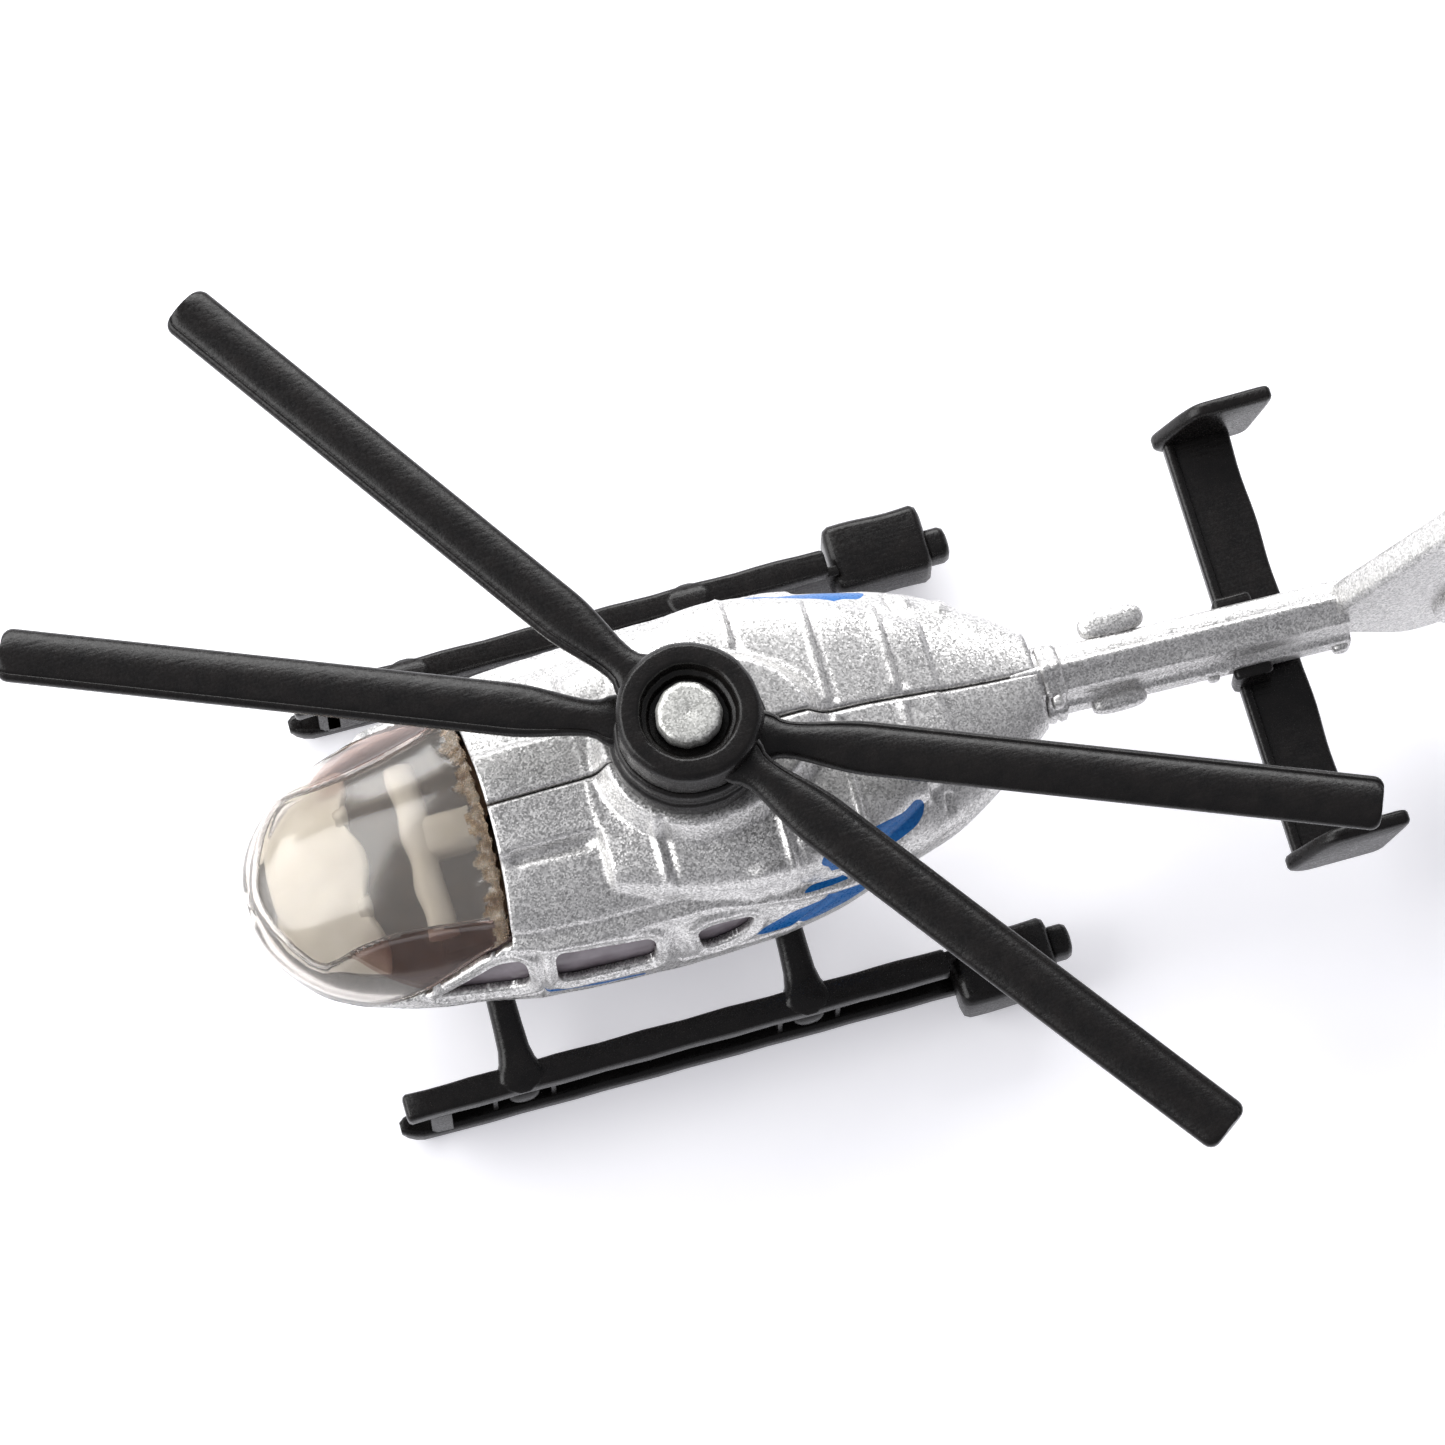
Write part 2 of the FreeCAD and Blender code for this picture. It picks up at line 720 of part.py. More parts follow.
def make_rotor(which, blade_angles):
    owner = body(f"{which}_rotor")
    ring = sketch(owner, f"{which}_ring", "XY_Plane", f"Sizes.{which}_ring_bottom")
    circle(ring, "0 mm", "0 mm", f"Sizes.{which}_ring_radius")
    pad(owner, f"{which}_ring_pad", ring, f"Sizes.{which}_ring_top - Sizes.{which}_ring_bottom")
    for number, angle in enumerate(blade_angles):
        plan = sketch(owner, f"{which}_blade_{number}", "XY_Plane", f"Sizes.{which}_blade_bottom")
        polygon(plan, blade_corners(angle, f"Sizes.{which}_blade_reach", f"Sizes.{which}_ring_radius"))
        pad(owner, f"{which}_blade_pad_{number}", plan, "Sizes.blade_thickness")
    bore = sketch(owner, f"{which}_bore", "XY_Plane", f"Sizes.{which}_ring_top")
    circle(bore, "0 mm", "0 mm", "Sizes.bore_radius")
    pocket(owner, f"{which}_bore_cut", bore, f"Sizes.{which}_ring_top - Sizes.{which}_ring_bottom + 1")
    if which == "upper":
        sink = sketch(owner, "counterbore", "XY_Plane", "Sizes.upper_ring_top")
        circle(sink, "0 mm", "0 mm", "Sizes.counterbore_radius")
        pocket(owner, "counterbore_cut", sink, "Sizes.upper_ring_top - Sizes.counterbore_floor")


def make_rotors():
    make_rotor("lower", ["Sizes.lower_rotor_angle", "(Sizes.lower_rotor_angle + 180)"])
    make_rotor("upper", ["Sizes.upper_rotor_front_angle", "Sizes.upper_rotor_rear_angle"])


# ---------------------------------------------------------------- undercarriage
def make_skid(starboard):
    """One side frame: a channel-shaped ski with a foot step, two struts and a rear block."""
    owner = body("skid_starboard" if starboard else "skid_port")
    sign = "-1" if starboard else "1"
    middle = f"{sign} * Sizes.skid_offset"
    ski = sketch(owner, "ski_side", "XZ_Plane", f"-({middle})")
    polygon(ski, [
        ("Sizes.skid_rear", "0 mm"),
        ("Sizes.skid_front - 1.6", "0 mm"),
        ("Sizes.skid_front", "Sizes.skid_tip_rise"),
        ("Sizes.skid_front - 0.2", "Sizes.skid_tip_rise + 0.9"),
        ("Sizes.skid_front - 2.2", "Sizes.skid_tip_rise + 1.0"),
        ("Sizes.step_front - 1.6", "Sizes.step_bottom - 0.5"),
        ("Sizes.step_front", "Sizes.step_bottom"),
        ("Sizes.step_front", "Sizes.step_top - 0.2"),
        ("Sizes.step_front - 0.3", "Sizes.step_top"),
        ("Sizes.step_rear", "Sizes.step_top"),
        ("Sizes.step_rear", "Sizes.step_bottom"),
        ("Sizes.skid_rear", "Sizes.block_top"),
    ])
    pad(owner, "ski_bar", ski, "Sizes.skid_width", both_ways=True)
    outer_face = f"-({middle} + {sign} * Sizes.skid_width / 2)"
    hollow = sketch(owner, "ski_hollow", "XZ_Plane", outer_face)
    rectangle(hollow, "Sizes.skid_rear + 0.8", "Sizes.step_front - 2.6",
              "Sizes.rail_thickness", "Sizes.step_bottom")
    pocket(owner, "ski_channel", hollow, "Sizes.skid_width - Sizes.web_thickness", backwards=not starboard)
    floor_face = f"-({middle} + {sign} * (Sizes.web_thickness - Sizes.skid_width / 2))"
    for place in ("front_boss", "rear_boss"):
        stud = sketch(owner, f"{place}_stud", "XZ_Plane", floor_face)
        circle(stud, f"Sizes.{place}", "(Sizes.rail_thickness + Sizes.step_bottom) / 2", "Sizes.boss_radius")
        pad(owner, f"{place}_pad", stud, "Sizes.boss_depth", backwards=not starboard)
        strut = sketch(owner, f"{place}_strut", "YZ_Plane", f"Sizes.{place} - Sizes.strut_length / 2")
        polygon(strut, strut_corners(sign))
        pad(owner, f"{place}_strut_pad", strut, "Sizes.strut_length")
    block = sketch(owner, "rear_block", "XY_Plane", "Sizes.block_bottom")
    rectangle(block, "Sizes.block_rear", "Sizes.block_front + 0.6",
              f"{sign} * Sizes.block_inner", f"{sign} * Sizes.block_outer")
    pad(owner, "rear_block_pad", block, "Sizes.block_top - Sizes.block_bottom")
    pip = sketch(owner, "block_pip", "XY_Plane", "Sizes.block_bottom + 0.9")
    rectangle(pip, "Sizes.block_pip_rear", "Sizes.block_rear + 0.5",
              f"{sign} * (Sizes.skid_offset - Sizes.block_pip_width / 2)",
              f"{sign} * (Sizes.skid_offset + Sizes.block_pip_width / 2)")
    pad(owner, "block_pip_pad", pip, "Sizes.block_pip_width")


def strut_corners(sign):
    half = "Sizes.strut_thickness / 2"
    run = [("Sizes.strut_inner", "Sizes.strut_top"), ("Sizes.strut_knee", "Sizes.strut_knee_height"),
           ("Sizes.skid_offset", "Sizes.strut_foot_height")]
    upper = [(f"{sign} * {y}", f"{z} + {half}") for y, z in run]
    lower = [(f"{sign} * {y}", f"{z} - {half}") for y, z in reversed(run)]
    return upper + lower


def make_belly_plate():
    """A plate in the underside whose two raised blocks grip the inner ends of the struts."""
    plate = box(size("plate_rear"), size("plate_front"), -size("plate_width") / 2, size("plate_width") / 2,
                size("plate_bottom"), size("plate_bottom") + size("plate_thickness"))
    upright = [edge for edge in plate.Edges if abs(edge.Vertexes[0].Z - edge.Vertexes[1].Z) > 0.5]
    plate = plate.makeFillet(size("plate_corner"), upright)
    solid = plate.fuse(socket_blocks(0.0))
    for starboard in (False, True):
        solid = solid.cut(strut_tool(0.0, starboard))
    feature("belly_plate", main_solid(solid.removeSplitter()))


# ---------------------------------------------------------------- stabilizer
def make_stabilizer():
    """A flat tailplane under the boom with swept endplates and a saddle around the boom."""
    owner = body("stabilizer")
    bar = sketch(owner, "bar_plan", "XY_Plane", "Sizes.bar_top - Sizes.bar_thickness")
    rectangle(bar, "Sizes.bar_rear", "Sizes.bar_front", "-Sizes.bar_span / 2", "Sizes.bar_span / 2")
    pad(owner, "bar_pad", bar, "Sizes.bar_thickness")
    for name, sign in (("port", "1"), ("starboard", "-1")):
        middle = f"{sign} * (Sizes.bar_span / 2 + Sizes.endplate_thickness / 2 - 0.1)"
        side = sketch(owner, f"{name}_endplate", "XZ_Plane", f"-({middle})")
        polygon(side, [
            ("Sizes.endplate_front - Sizes.endplate_sweep * 0.3", "Sizes.endplate_bottom"),
            ("Sizes.endplate_front", "Sizes.endplate_bottom + 1.2"),
            ("Sizes.endplate_front - Sizes.endplate_sweep", "Sizes.endplate_top"),
            ("Sizes.endplate_rear", "Sizes.endplate_top"),
            ("Sizes.endplate_rear + Sizes.endplate_sweep * 0.6", "Sizes.endplate_bottom"),
        ])
        pad(owner, f"{name}_endplate_pad", side, "Sizes.endplate_thickness", both_ways=True)
        cheek_middle = f"{sign} * (Sizes.boom_width / 2 + Sizes.saddle_gap + Sizes.saddle_thickness / 2)"
        cheek = sketch(owner, f"{name}_cheek", "XZ_Plane", f"-({cheek_middle})")
        rectangle(cheek, "Sizes.bar_front - Sizes.saddle_length - 0.6", "Sizes.bar_front - 0.6",
                  "Sizes.bar_top - 0.4", "Sizes.saddle_top")
        pad(owner, f"{name}_cheek_pad", cheek, "Sizes.saddle_thickness", both_ways=True)


# ---------------------------------------------------------------- rivets
def make_rivets():
    """Two plain pins across the body, driven in from the port side."""
    ends = (size("rivet_starboard_end"), size("rivet_port_end"))
    pins = [across_cylinder(size("rivet_radius"), x, z, *ends) for x, z in rivet_places()]
    feature("assembly_rivets", Part.makeCompound(pins))


make_body_halves()
make_canopy()
make_side_panes()
make_cabin_interior()
make_mast()
make_rotors()
for starboard_side in (False, True):
    make_skid(starboard_side)
make_belly_plate()
make_stabilizer()
make_rivets()


# ---------------------------------------------------------------- checks and STEP files
def check_and_write():
    doc.recompute()
    for item in doc.Objects:
        if "Invalid" in item.State or "Error" in item.State:
            raise RuntimeError(f"{item.Label}: {item.State}")
    os.makedirs("parts", exist_ok=True)
    pieces = [o for o in doc.Objects if o.TypeId in ("PartDesign::Body", "Part::Feature")
              and o.getParentGeoFeatureGroup() is None]
    for piece in pieces:
        shape = piece.Shape
        if shape.isNull() or not shape.isValid():
            raise RuntimeError(f"{piece.Label}: bad shape")
        print(f"{piece.Label}: {len(shape.Solids)} solid, {shape.Volume:.1f} mm3, {shape.BoundBox}")
        shape.exportStep(os.path.join("parts", f"{piece.Label}.step"))


check_and_write()
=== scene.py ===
import bmesh
import bpy
import math
import numpy as np
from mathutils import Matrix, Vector


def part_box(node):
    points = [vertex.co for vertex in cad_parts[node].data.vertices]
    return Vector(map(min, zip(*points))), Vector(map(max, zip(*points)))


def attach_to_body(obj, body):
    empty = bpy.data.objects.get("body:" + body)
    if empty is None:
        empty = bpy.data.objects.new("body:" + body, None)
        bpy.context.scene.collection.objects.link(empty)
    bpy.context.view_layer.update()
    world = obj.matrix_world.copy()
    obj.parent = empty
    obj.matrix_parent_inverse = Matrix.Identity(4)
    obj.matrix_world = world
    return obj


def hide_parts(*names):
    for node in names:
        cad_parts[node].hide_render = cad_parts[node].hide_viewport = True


# A die-cast toy helicopter: a coarse-flaked silver body in two halves, a smoke-tinted nose,
# tinted side windows, black plastic undercarriage and two stacked rotors. Lengths here are in
# millimetres about the rotor mast, with +X to the nose, +Y to port and Z = 0 under the skids.

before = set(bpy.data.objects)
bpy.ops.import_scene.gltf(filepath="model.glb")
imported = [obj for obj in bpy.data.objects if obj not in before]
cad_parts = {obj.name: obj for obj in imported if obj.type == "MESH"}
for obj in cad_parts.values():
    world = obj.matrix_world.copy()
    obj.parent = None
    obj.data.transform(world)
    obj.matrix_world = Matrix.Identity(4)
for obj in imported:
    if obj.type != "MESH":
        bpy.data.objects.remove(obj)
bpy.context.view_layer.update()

MM = 0.001
mast_low, mast_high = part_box("rotor_mast")
MAST_X = (mast_low.x + mast_high.x) / 2
BORE_RADIUS = 1.3  # of both rotors, and never uneven
TURNED_STEPS = 128
CLEAR_PLASTIC_IOR = 1.49
SHELL_MIDDLE = 10.5  # a level inside every shell, from which outward is told
HUB_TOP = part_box("upper_rotor")[1].z / MM


# ------------------------------------------------------------------ mesh helpers
def add_mesh(name, points, faces, materials, smooth=True):
    """A mesh object from points in millimetres about the mast."""
    mesh = bpy.data.meshes.new(name)
    mesh.from_pydata([(MAST_X + x * MM, y * MM, z * MM) for x, y, z in points], [], faces)
    mesh.update()
    item = bpy.data.objects.new(name, mesh)
    bpy.context.scene.collection.objects.link(item)
    for material in materials:
        mesh.materials.append(material)
    if smooth:
        mesh.shade_smooth()
    return item


def attach(item, body, slot, *nodes):
    """The piece rides on a body and stands for CAD nodes, which are hidden; the slot is not used."""
    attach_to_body(item, body)
    if nodes:
        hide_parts(*nodes)
    return item


def bevel(item, width, segments=2, angle=35.0):
    """Round an object's sharp edges, in millimetres."""
    rounding = item.modifiers.new("rounding", "BEVEL")
    rounding.width = width * MM
    rounding.segments = segments
    rounding.limit_method = "ANGLE"
    rounding.angle_limit = math.radians(angle)
    rounding.harden_normals = False
    return rounding


def keep_edges_sharp(item, angle=35.0):
    """Smooth shading that breaks only where the surface really turns."""
    item.data.shade_smooth()
    item.data.set_sharp_from_angle(angle=math.radians(angle))


def grid_faces(rows, columns, closed=False, turned=False):
    """Quads over rows of points; closed joins each row's ends, turned joins the last row to the first."""
    faces = []
    for row in range(rows if turned else rows - 1):
        near, far = row * columns, (row + 1) % rows * columns
        for column in range(columns if closed else columns - 1):
            after = (column + 1) % columns
            faces.append((near + column, far + column, far + after, near + after))
    return faces


def loft(name, sections, materials, sharp):
    """A closed solid through sections with the same number of points; edges beyond an angle stay sharp."""
    count = len(sections[0])
    points = [point for section in sections for point in section]
    faces = grid_faces(len(sections), count, closed=True)
    faces.append(tuple(range(count)))
    faces.append(tuple(reversed(range(len(points) - count, len(points)))))
    item = add_mesh(name, points, faces, materials)
    clean(item)
    keep_edges_sharp(item, sharp)
    return item


def clean(item, merge=False):
    """Turn every face outward, after joining points that share a place where that is asked for."""
    shell = bmesh.new()
    shell.from_mesh(item.data)
    if merge:
        bmesh.ops.remove_doubles(shell, verts=shell.verts, dist=0.001 * MM)
    bmesh.ops.recalc_face_normals(shell, faces=shell.faces)
    shell.to_mesh(item.data)
    shell.free()


def revolve(name, profile, materials, wobble):
    """A solid turned about the mast from (radius, height) points, uneven beyond the bore."""
    points = []
    for angle in np.linspace(0.0, math.tau, TURNED_STEPS, endpoint=False):
        for radius, height in profile:
            uneven = radius + wobble(angle) * float(fade(radius, BORE_RADIUS, BORE_RADIUS + 0.3))
            points.append((uneven * math.cos(angle), uneven * math.sin(angle), height))
    item = add_mesh(name, points, grid_faces(TURNED_STEPS, len(profile), closed=True, turned=True), materials)
    clean(item)
    return item


def rounded_profile(corners, radius, steps=4):
    """An outline with each corner replaced by a short curve of about the given radius."""
    points = []
    for k, corner in enumerate(corners):
        here = Vector(corner)
        before = Vector(corners[k - 1]) - here
        after = Vector(corners[(k + 1) % len(corners)]) - here
        cut = min(radius, before.length * 0.45, after.length * 0.45)
        start = here + before.normalized() * cut
        end = here + after.normalized() * cut
        for step in range(steps + 1):
            t = step / steps
            points.append(tuple((1 - t) ** 2 * start + 2 * t * (1 - t) * here + t * t * end))
    return points


# ------------------------------------------------------------------ curves over a length
def through(places, values):
    """A smooth curve through values at places, which never overshoots them."""
    xs = np.array(places, float)
    ys = np.array(values, float)
    order = np.argsort(xs)
    xs, ys = xs[order], ys[order]
    steps = np.diff(xs)
    slopes = np.diff(ys) / steps
    tangents = np.zeros(len(xs))
    for k in range(1, len(xs) - 1):
        if slopes[k - 1] * slopes[k] > 0:
            near, far = 2 * steps[k] + steps[k - 1], steps[k] + 2 * steps[k - 1]
            tangents[k] = (near + far) / (near / slopes[k - 1] + far / slopes[k])
    tangents[0], tangents[-1] = slopes[0], slopes[-1]

    def curve(x):
        x = np.clip(x, xs[0], xs[-1])
        k = np.clip(np.searchsorted(xs, x) - 1, 0, len(xs) - 2)
        t = (x - xs[k]) / steps[k]
        return ((2 * t**3 - 3 * t**2 + 1) * ys[k] + (t**3 - 2 * t**2 + t) * steps[k] * tangents[k]
                + (3 * t**2 - 2 * t**3) * ys[k + 1] + (t**3 - t**2) * steps[k] * tangents[k + 1])

    return curve


def fade(value, start, end):
    """0 at start and 1 at end, with a soft change between them."""
    t = np.clip((value - start) / (end - start), 0.0, 1.0)
    return t * t * (3 - 2 * t)


def path_distance(a, b, path, closed=False):
    """How far each point (a, b) lies from a path of straight runs."""
    points = list(path) + ([path[0]] if closed else [])
    nearest = np.full(np.shape(a), np.inf)
    for (a0, b0), (a1, b1) in zip(points, points[1:]):
        run = (a1 - a0) ** 2 + (b1 - b0) ** 2
        t = np.clip(((a - a0) * (a1 - a0) + (b - b0) * (b1 - b0)) / run, 0.0, 1.0)
        nearest = np.minimum(nearest, np.hypot(a - a0 - t * (a1 - a0), b - b0 - t * (b1 - b0)))
    return nearest


def inside(a, b, outline):
    """True where the points (a, b) lie within a closed outline."""
    within = np.zeros(np.shape(a), bool)
    for k in range(len(outline)):
        a0, b0 = outline[k - 1]
        a1, b1 = outline[k]
        if b0 == b1:
            continue
        crosses = (b0 > b) != (b1 > b)
        within ^= crosses & (a < (a1 - a0) * (b - b0) / (b1 - b0) + a0)
    return within


def mark(distance, width, height):
    """A rounded ridge, or a groove where the height is negative."""
    return height * np.exp(-((distance / width) ** 2))


# ------------------------------------------------------------------ materials
class Shader:
    """A material with a Principled surface, and short calls that add and join nodes."""

    def __init__(self, name):
        self.material = bpy.data.materials.new(name)
        self.material.use_nodes = True
        self.nodes = self.material.node_tree.nodes
        self.links = self.material.node_tree.links
        self.surface = self.nodes["Principled BSDF"]
        self.place = self.nodes.new("ShaderNodeTexCoord").outputs["Object"]

    def join(self, value, socket):
        if isinstance(value, bpy.types.NodeSocket):
            self.links.new(value, socket)
        else:
            socket.default_value = value

    def finish(self, **values):
        """Set or feed the surface's own inputs."""
        for name, value in values.items():
            self.join(value, self.surface.inputs[name.replace("_", " ")])

    def noise(self, size, detail=3.0, roughness=0.6, stretch=(1, 1, 1)):
        """Soft random values, with a grain size in millimetres."""
        mapping = self.nodes.new("ShaderNodeMapping")
        mapping.inputs["Scale"].default_value = stretch
        self.links.new(self.place, mapping.inputs["Vector"])
        node = self.nodes.new("ShaderNodeTexNoise")
        node.inputs["Scale"].default_value = 1.0 / (size * MM)
        node.inputs["Detail"].default_value = detail
        node.inputs["Roughness"].default_value = roughness
        self.links.new(mapping.outputs["Vector"], node.inputs["Vector"])
        return node.outputs["Fac"]

    def cells(self, size):
        """A random colour for each grain of the given size in millimetres."""
        node = self.nodes.new("ShaderNodeTexVoronoi")
        node.inputs["Scale"].default_value = 1.0 / (size * MM)
        self.links.new(self.place, node.inputs["Vector"])
        return node.outputs["Color"]

    def parts(self, colour):
        """The red, green and blue of a colour."""
        node = self.nodes.new("ShaderNodeSeparateColor")
        self.links.new(colour, node.inputs["Color"])
        return node.outputs

    def ramp(self, value, *stops):
        """Turn a value into a colour or a grey through stops of (place, colour or grey)."""
        node = self.nodes.new("ShaderNodeValToRGB")
        while len(node.color_ramp.elements) < len(stops):
            node.color_ramp.elements.new(0.5)
        for element, (position, tone) in zip(node.color_ramp.elements, stops):
            element.position = position
            element.color = (*tone, 1) if isinstance(tone, tuple) else (tone, tone, tone, 1)
        self.links.new(value, node.inputs["Fac"])
        return node.outputs["Color"]

    def math(self, operation, first, second):
        node = self.nodes.new("ShaderNodeMath")
        node.operation = operation
        self.join(first, node.inputs[0])
        self.join(second, node.inputs[1])
        return node.outputs[0]

    def mix(self, factor, first, second):
        """Blend two colours."""
        node = self.nodes.new("ShaderNodeMix")
        node.data_type = "RGBA"
        self.join(factor, node.inputs["Factor"])
        for socket, value in (("A", first), ("B", second)):
            target = next(i for i in node.inputs if i.name == socket and i.type == "RGBA")
            self.join((*value, 1) if isinstance(value, tuple) else value, target)
        return next(o for o in node.outputs if o.type == "RGBA")

    def vector(self, operation, first, second=None):
        node = self.nodes.new("ShaderNodeVectorMath")
        node.operation = operation
        self.join(first, node.inputs[0])
        if second is not None:
            self.join(second, node.inputs["Scale" if operation == "SCALE" else 1])
        return node.outputs["Vector"]

    def tilted(self, grains, amount):
        """The surface's normal, leaned a little differently on each grain."""
        lean = self.vector("SCALE", self.vector("SUBTRACT", grains, (0.5, 0.5, 0.5)), amount)
        normal = self.nodes.new("ShaderNodeNewGeometry").outputs["Normal"]
        return self.vector("NORMALIZE", self.vector("ADD", normal, lean))

    def bump(self, height, depth, strength=1.0, base=None):
        """Relief from a 0 to 1 height, with its full depth in millimetres."""
        node = self.nodes.new("ShaderNodeBump")
        node.inputs["Strength"].default_value = strength
        node.inputs["Distance"].default_value = depth * MM
        self.links.new(height, node.inputs["Height"])
        if base is not None:
            self.links.new(base, node.inputs["Normal"])
        return node.outputs["Normal"]


def flaked_paint(name, dark, light, tint):
    """Silver paint whose coarse flakes each catch the light at their own tilt."""
    shader = Shader(name)
    flakes = shader.cells(0.09)
    grains = shader.parts(flakes)
    clumps = shader.noise(0.20, 2.0)
    wear = shader.ramp(shader.noise(2.4), (0.35, 0.0), (0.75, 0.25))
    glints = shader.math("MULTIPLY", grains["Red"], 0.6)
    mixed = shader.math("ADD", glints, shader.math("MULTIPLY", clumps, 0.45))
    deep, pale, worn = (tuple(level * part for part in tint) for level in (dark, light, 0.8 * light))
    shader.finish(
        Base_Color=shader.mix(wear, shader.ramp(mixed, (0.15, deep), (0.85, pale)), worn),
        Metallic=0.8,
        Roughness=shader.ramp(grains["Green"], (0.0, 0.34), (1.0, 0.48)),
        Normal=shader.bump(clumps, 0.012, 0.5, shader.tilted(flakes, 0.20)),
    )
    return shader.material


def black_plastic(name, tone, gloss):
    """Moulded black plastic with fine flow marks, rubbed highlights and scratches."""
    shader = Shader(name)
    flow = shader.noise(1.1, 4.0, 0.65)
    pits = shader.noise(0.16, 3.0, 0.7)
    scratches = shader.noise(0.35, 2.0, 0.5, stretch=(0.12, 1.3, 1.0))
    dull = (tone * 0.75, tone * 0.7, tone * 0.7)
    rubbed = (tone * 1.9, tone * 1.6, tone * 1.5)
    shader.finish(
        Base_Color=shader.ramp(flow, (0.3, dull), (0.75, rubbed)),
        Roughness=shader.ramp(pits, (0.3, gloss - 0.08), (0.75, gloss + 0.16)),
        Normal=shader.bump(pits, 0.02, 0.6, shader.bump(scratches, 0.03, 0.5, shader.bump(flow, 0.08, 0.35))),
        Specular_IOR_Level=0.3,
    )
    return shader.material


def smoke_plastic(name, dark, light):
    """Clear brown plastic with a faint ripple and fine specks."""
    shader = Shader(name)
    ripple = shader.noise(2.2, 2.0)
    shader.finish(
        Base_Color=shader.ramp(ripple, (0.3, dark), (0.8, light)),
        Roughness=shader.ramp(shader.noise(0.22), (0.3, 0.09), (0.9, 0.18)),
        Normal=shader.bump(ripple, 0.03, 0.3),
        Transmission_Weight=0.92,
        IOR=CLEAR_PLASTIC_IOR,
    )
    return shader.material


def scorched_plastic(name):
    """The cut rear edge of the clear nose: golden brown, rough and pitted."""
    shader = Shader(name)
    melt = shader.noise(0.9, 4.0)
    pits = shader.noise(0.18)
    dark, middle, light = (0.22, 0.13, 0.08), (0.55, 0.41, 0.28), (0.88, 0.79, 0.64)
    shader.finish(
        Base_Color=shader.ramp(melt, (0.3, dark), (0.5, middle), (0.72, light)),
        Roughness=shader.ramp(pits, (0.3, 0.14), (0.8, 0.4)),
        Normal=shader.bump(melt, 0.2, 0.6, shader.bump(pits, 0.03, 0.4)),
        Transmission_Weight=0.75,
        IOR=CLEAR_PLASTIC_IOR,
    )
    return shader.material


def window_plastic(name):
    """Thin grey-violet plastic behind the side openings."""
    shader = Shader(name)
    ripple = shader.noise(1.4, 2.0)
    shader.finish(
        Base_Color=shader.ramp(ripple, (0.3, (0.20, 0.17, 0.19)), (0.8, (0.34, 0.30, 0.33))),
        Roughness=shader.ramp(ripple, (0.3, 0.10), (0.8, 0.24)),
        Transmission_Weight=0.15,
        IOR=CLEAR_PLASTIC_IOR,
    )
    return shader.material


def cabin_plastic(name, dark, light):
    """The cabin's moulding, with soft patches between two tones."""
    shader = Shader(name)
    grain = shader.noise(0.2, 2.0)
    shader.finish(
        Base_Color=shader.ramp(shader.noise(1.6), (0.25, dark), (0.8, light)),
        Roughness=shader.ramp(grain, (0.3, 0.42), (0.8, 0.62)),
        Normal=shader.bump(grain, 0.03, 0.4),
    )
    return shader.material


def cast_metal(name):
    """The bare, finely grained end of the pressed mast."""
    shader = Shader(name)
    grains = shader.cells(0.09)
    parts = shader.parts(grains)
    tone = shader.ramp(parts["Red"], (0.0, (0.36, 0.36, 0.34)), (1.0, (0.74, 0.74, 0.71)))
    wear = shader.ramp(shader.noise(0.8), (0.4, 0.0), (0.8, 0.3))
    shader.finish(
        Base_Color=shader.mix(wear, tone, (0.62, 0.62, 0.60)),
        Metallic=0.6,
        Roughness=shader.ramp(parts["Green"], (0.0, 0.34), (1.0, 0.55)),
        Normal=shader.tilted(grains, 0.25),
    )
    return shader.material


def printed_blue(name):
    """Glossy blue print, a little thin over the flakes."""
    shader = Shader(name)
    grain = shader.noise(0.18)
    shader.finish(
        Base_Color=shader.ramp(grain, (0.25, (0.002, 0.10, 0.36)), (0.8, (0.003, 0.17, 0.50))),
        Roughness=shader.ramp(grain, (0.3, 0.22), (0.8, 0.42)),
        Normal=shader.bump(grain, 0.02, 0.5),
        Specular_IOR_Level=0.3,
    )
    return shader.material


silver = flaked_paint("flaked_silver", 0.30, 0.94, (1.0, 0.99, 0.975))
blue = printed_blue("printed_blue")
smoke = smoke_plastic("smoke_plastic", (0.84, 0.79, 0.73), (0.92, 0.88, 0.83))
side_smoke = smoke_plastic("side_smoke_plastic", (0.40, 0.26, 0.21), (0.64, 0.50, 0.46))
scorched = scorched_plastic("scorched_plastic")
tinted = window_plastic("window_plastic")
cabin = cabin_plastic("cabin_plastic", (0.040, 0.023, 0.012), (0.15, 0.094, 0.055))
cream = cabin_plastic("cabin_cream", (0.90, 0.89, 0.80), (0.99, 0.98, 0.93))
metal = cast_metal("cast_metal")
rotor_black = black_plastic("rotor_black", 0.0055, 0.27)
skid_black = black_plastic("skid_black", 0.005, 0.26)

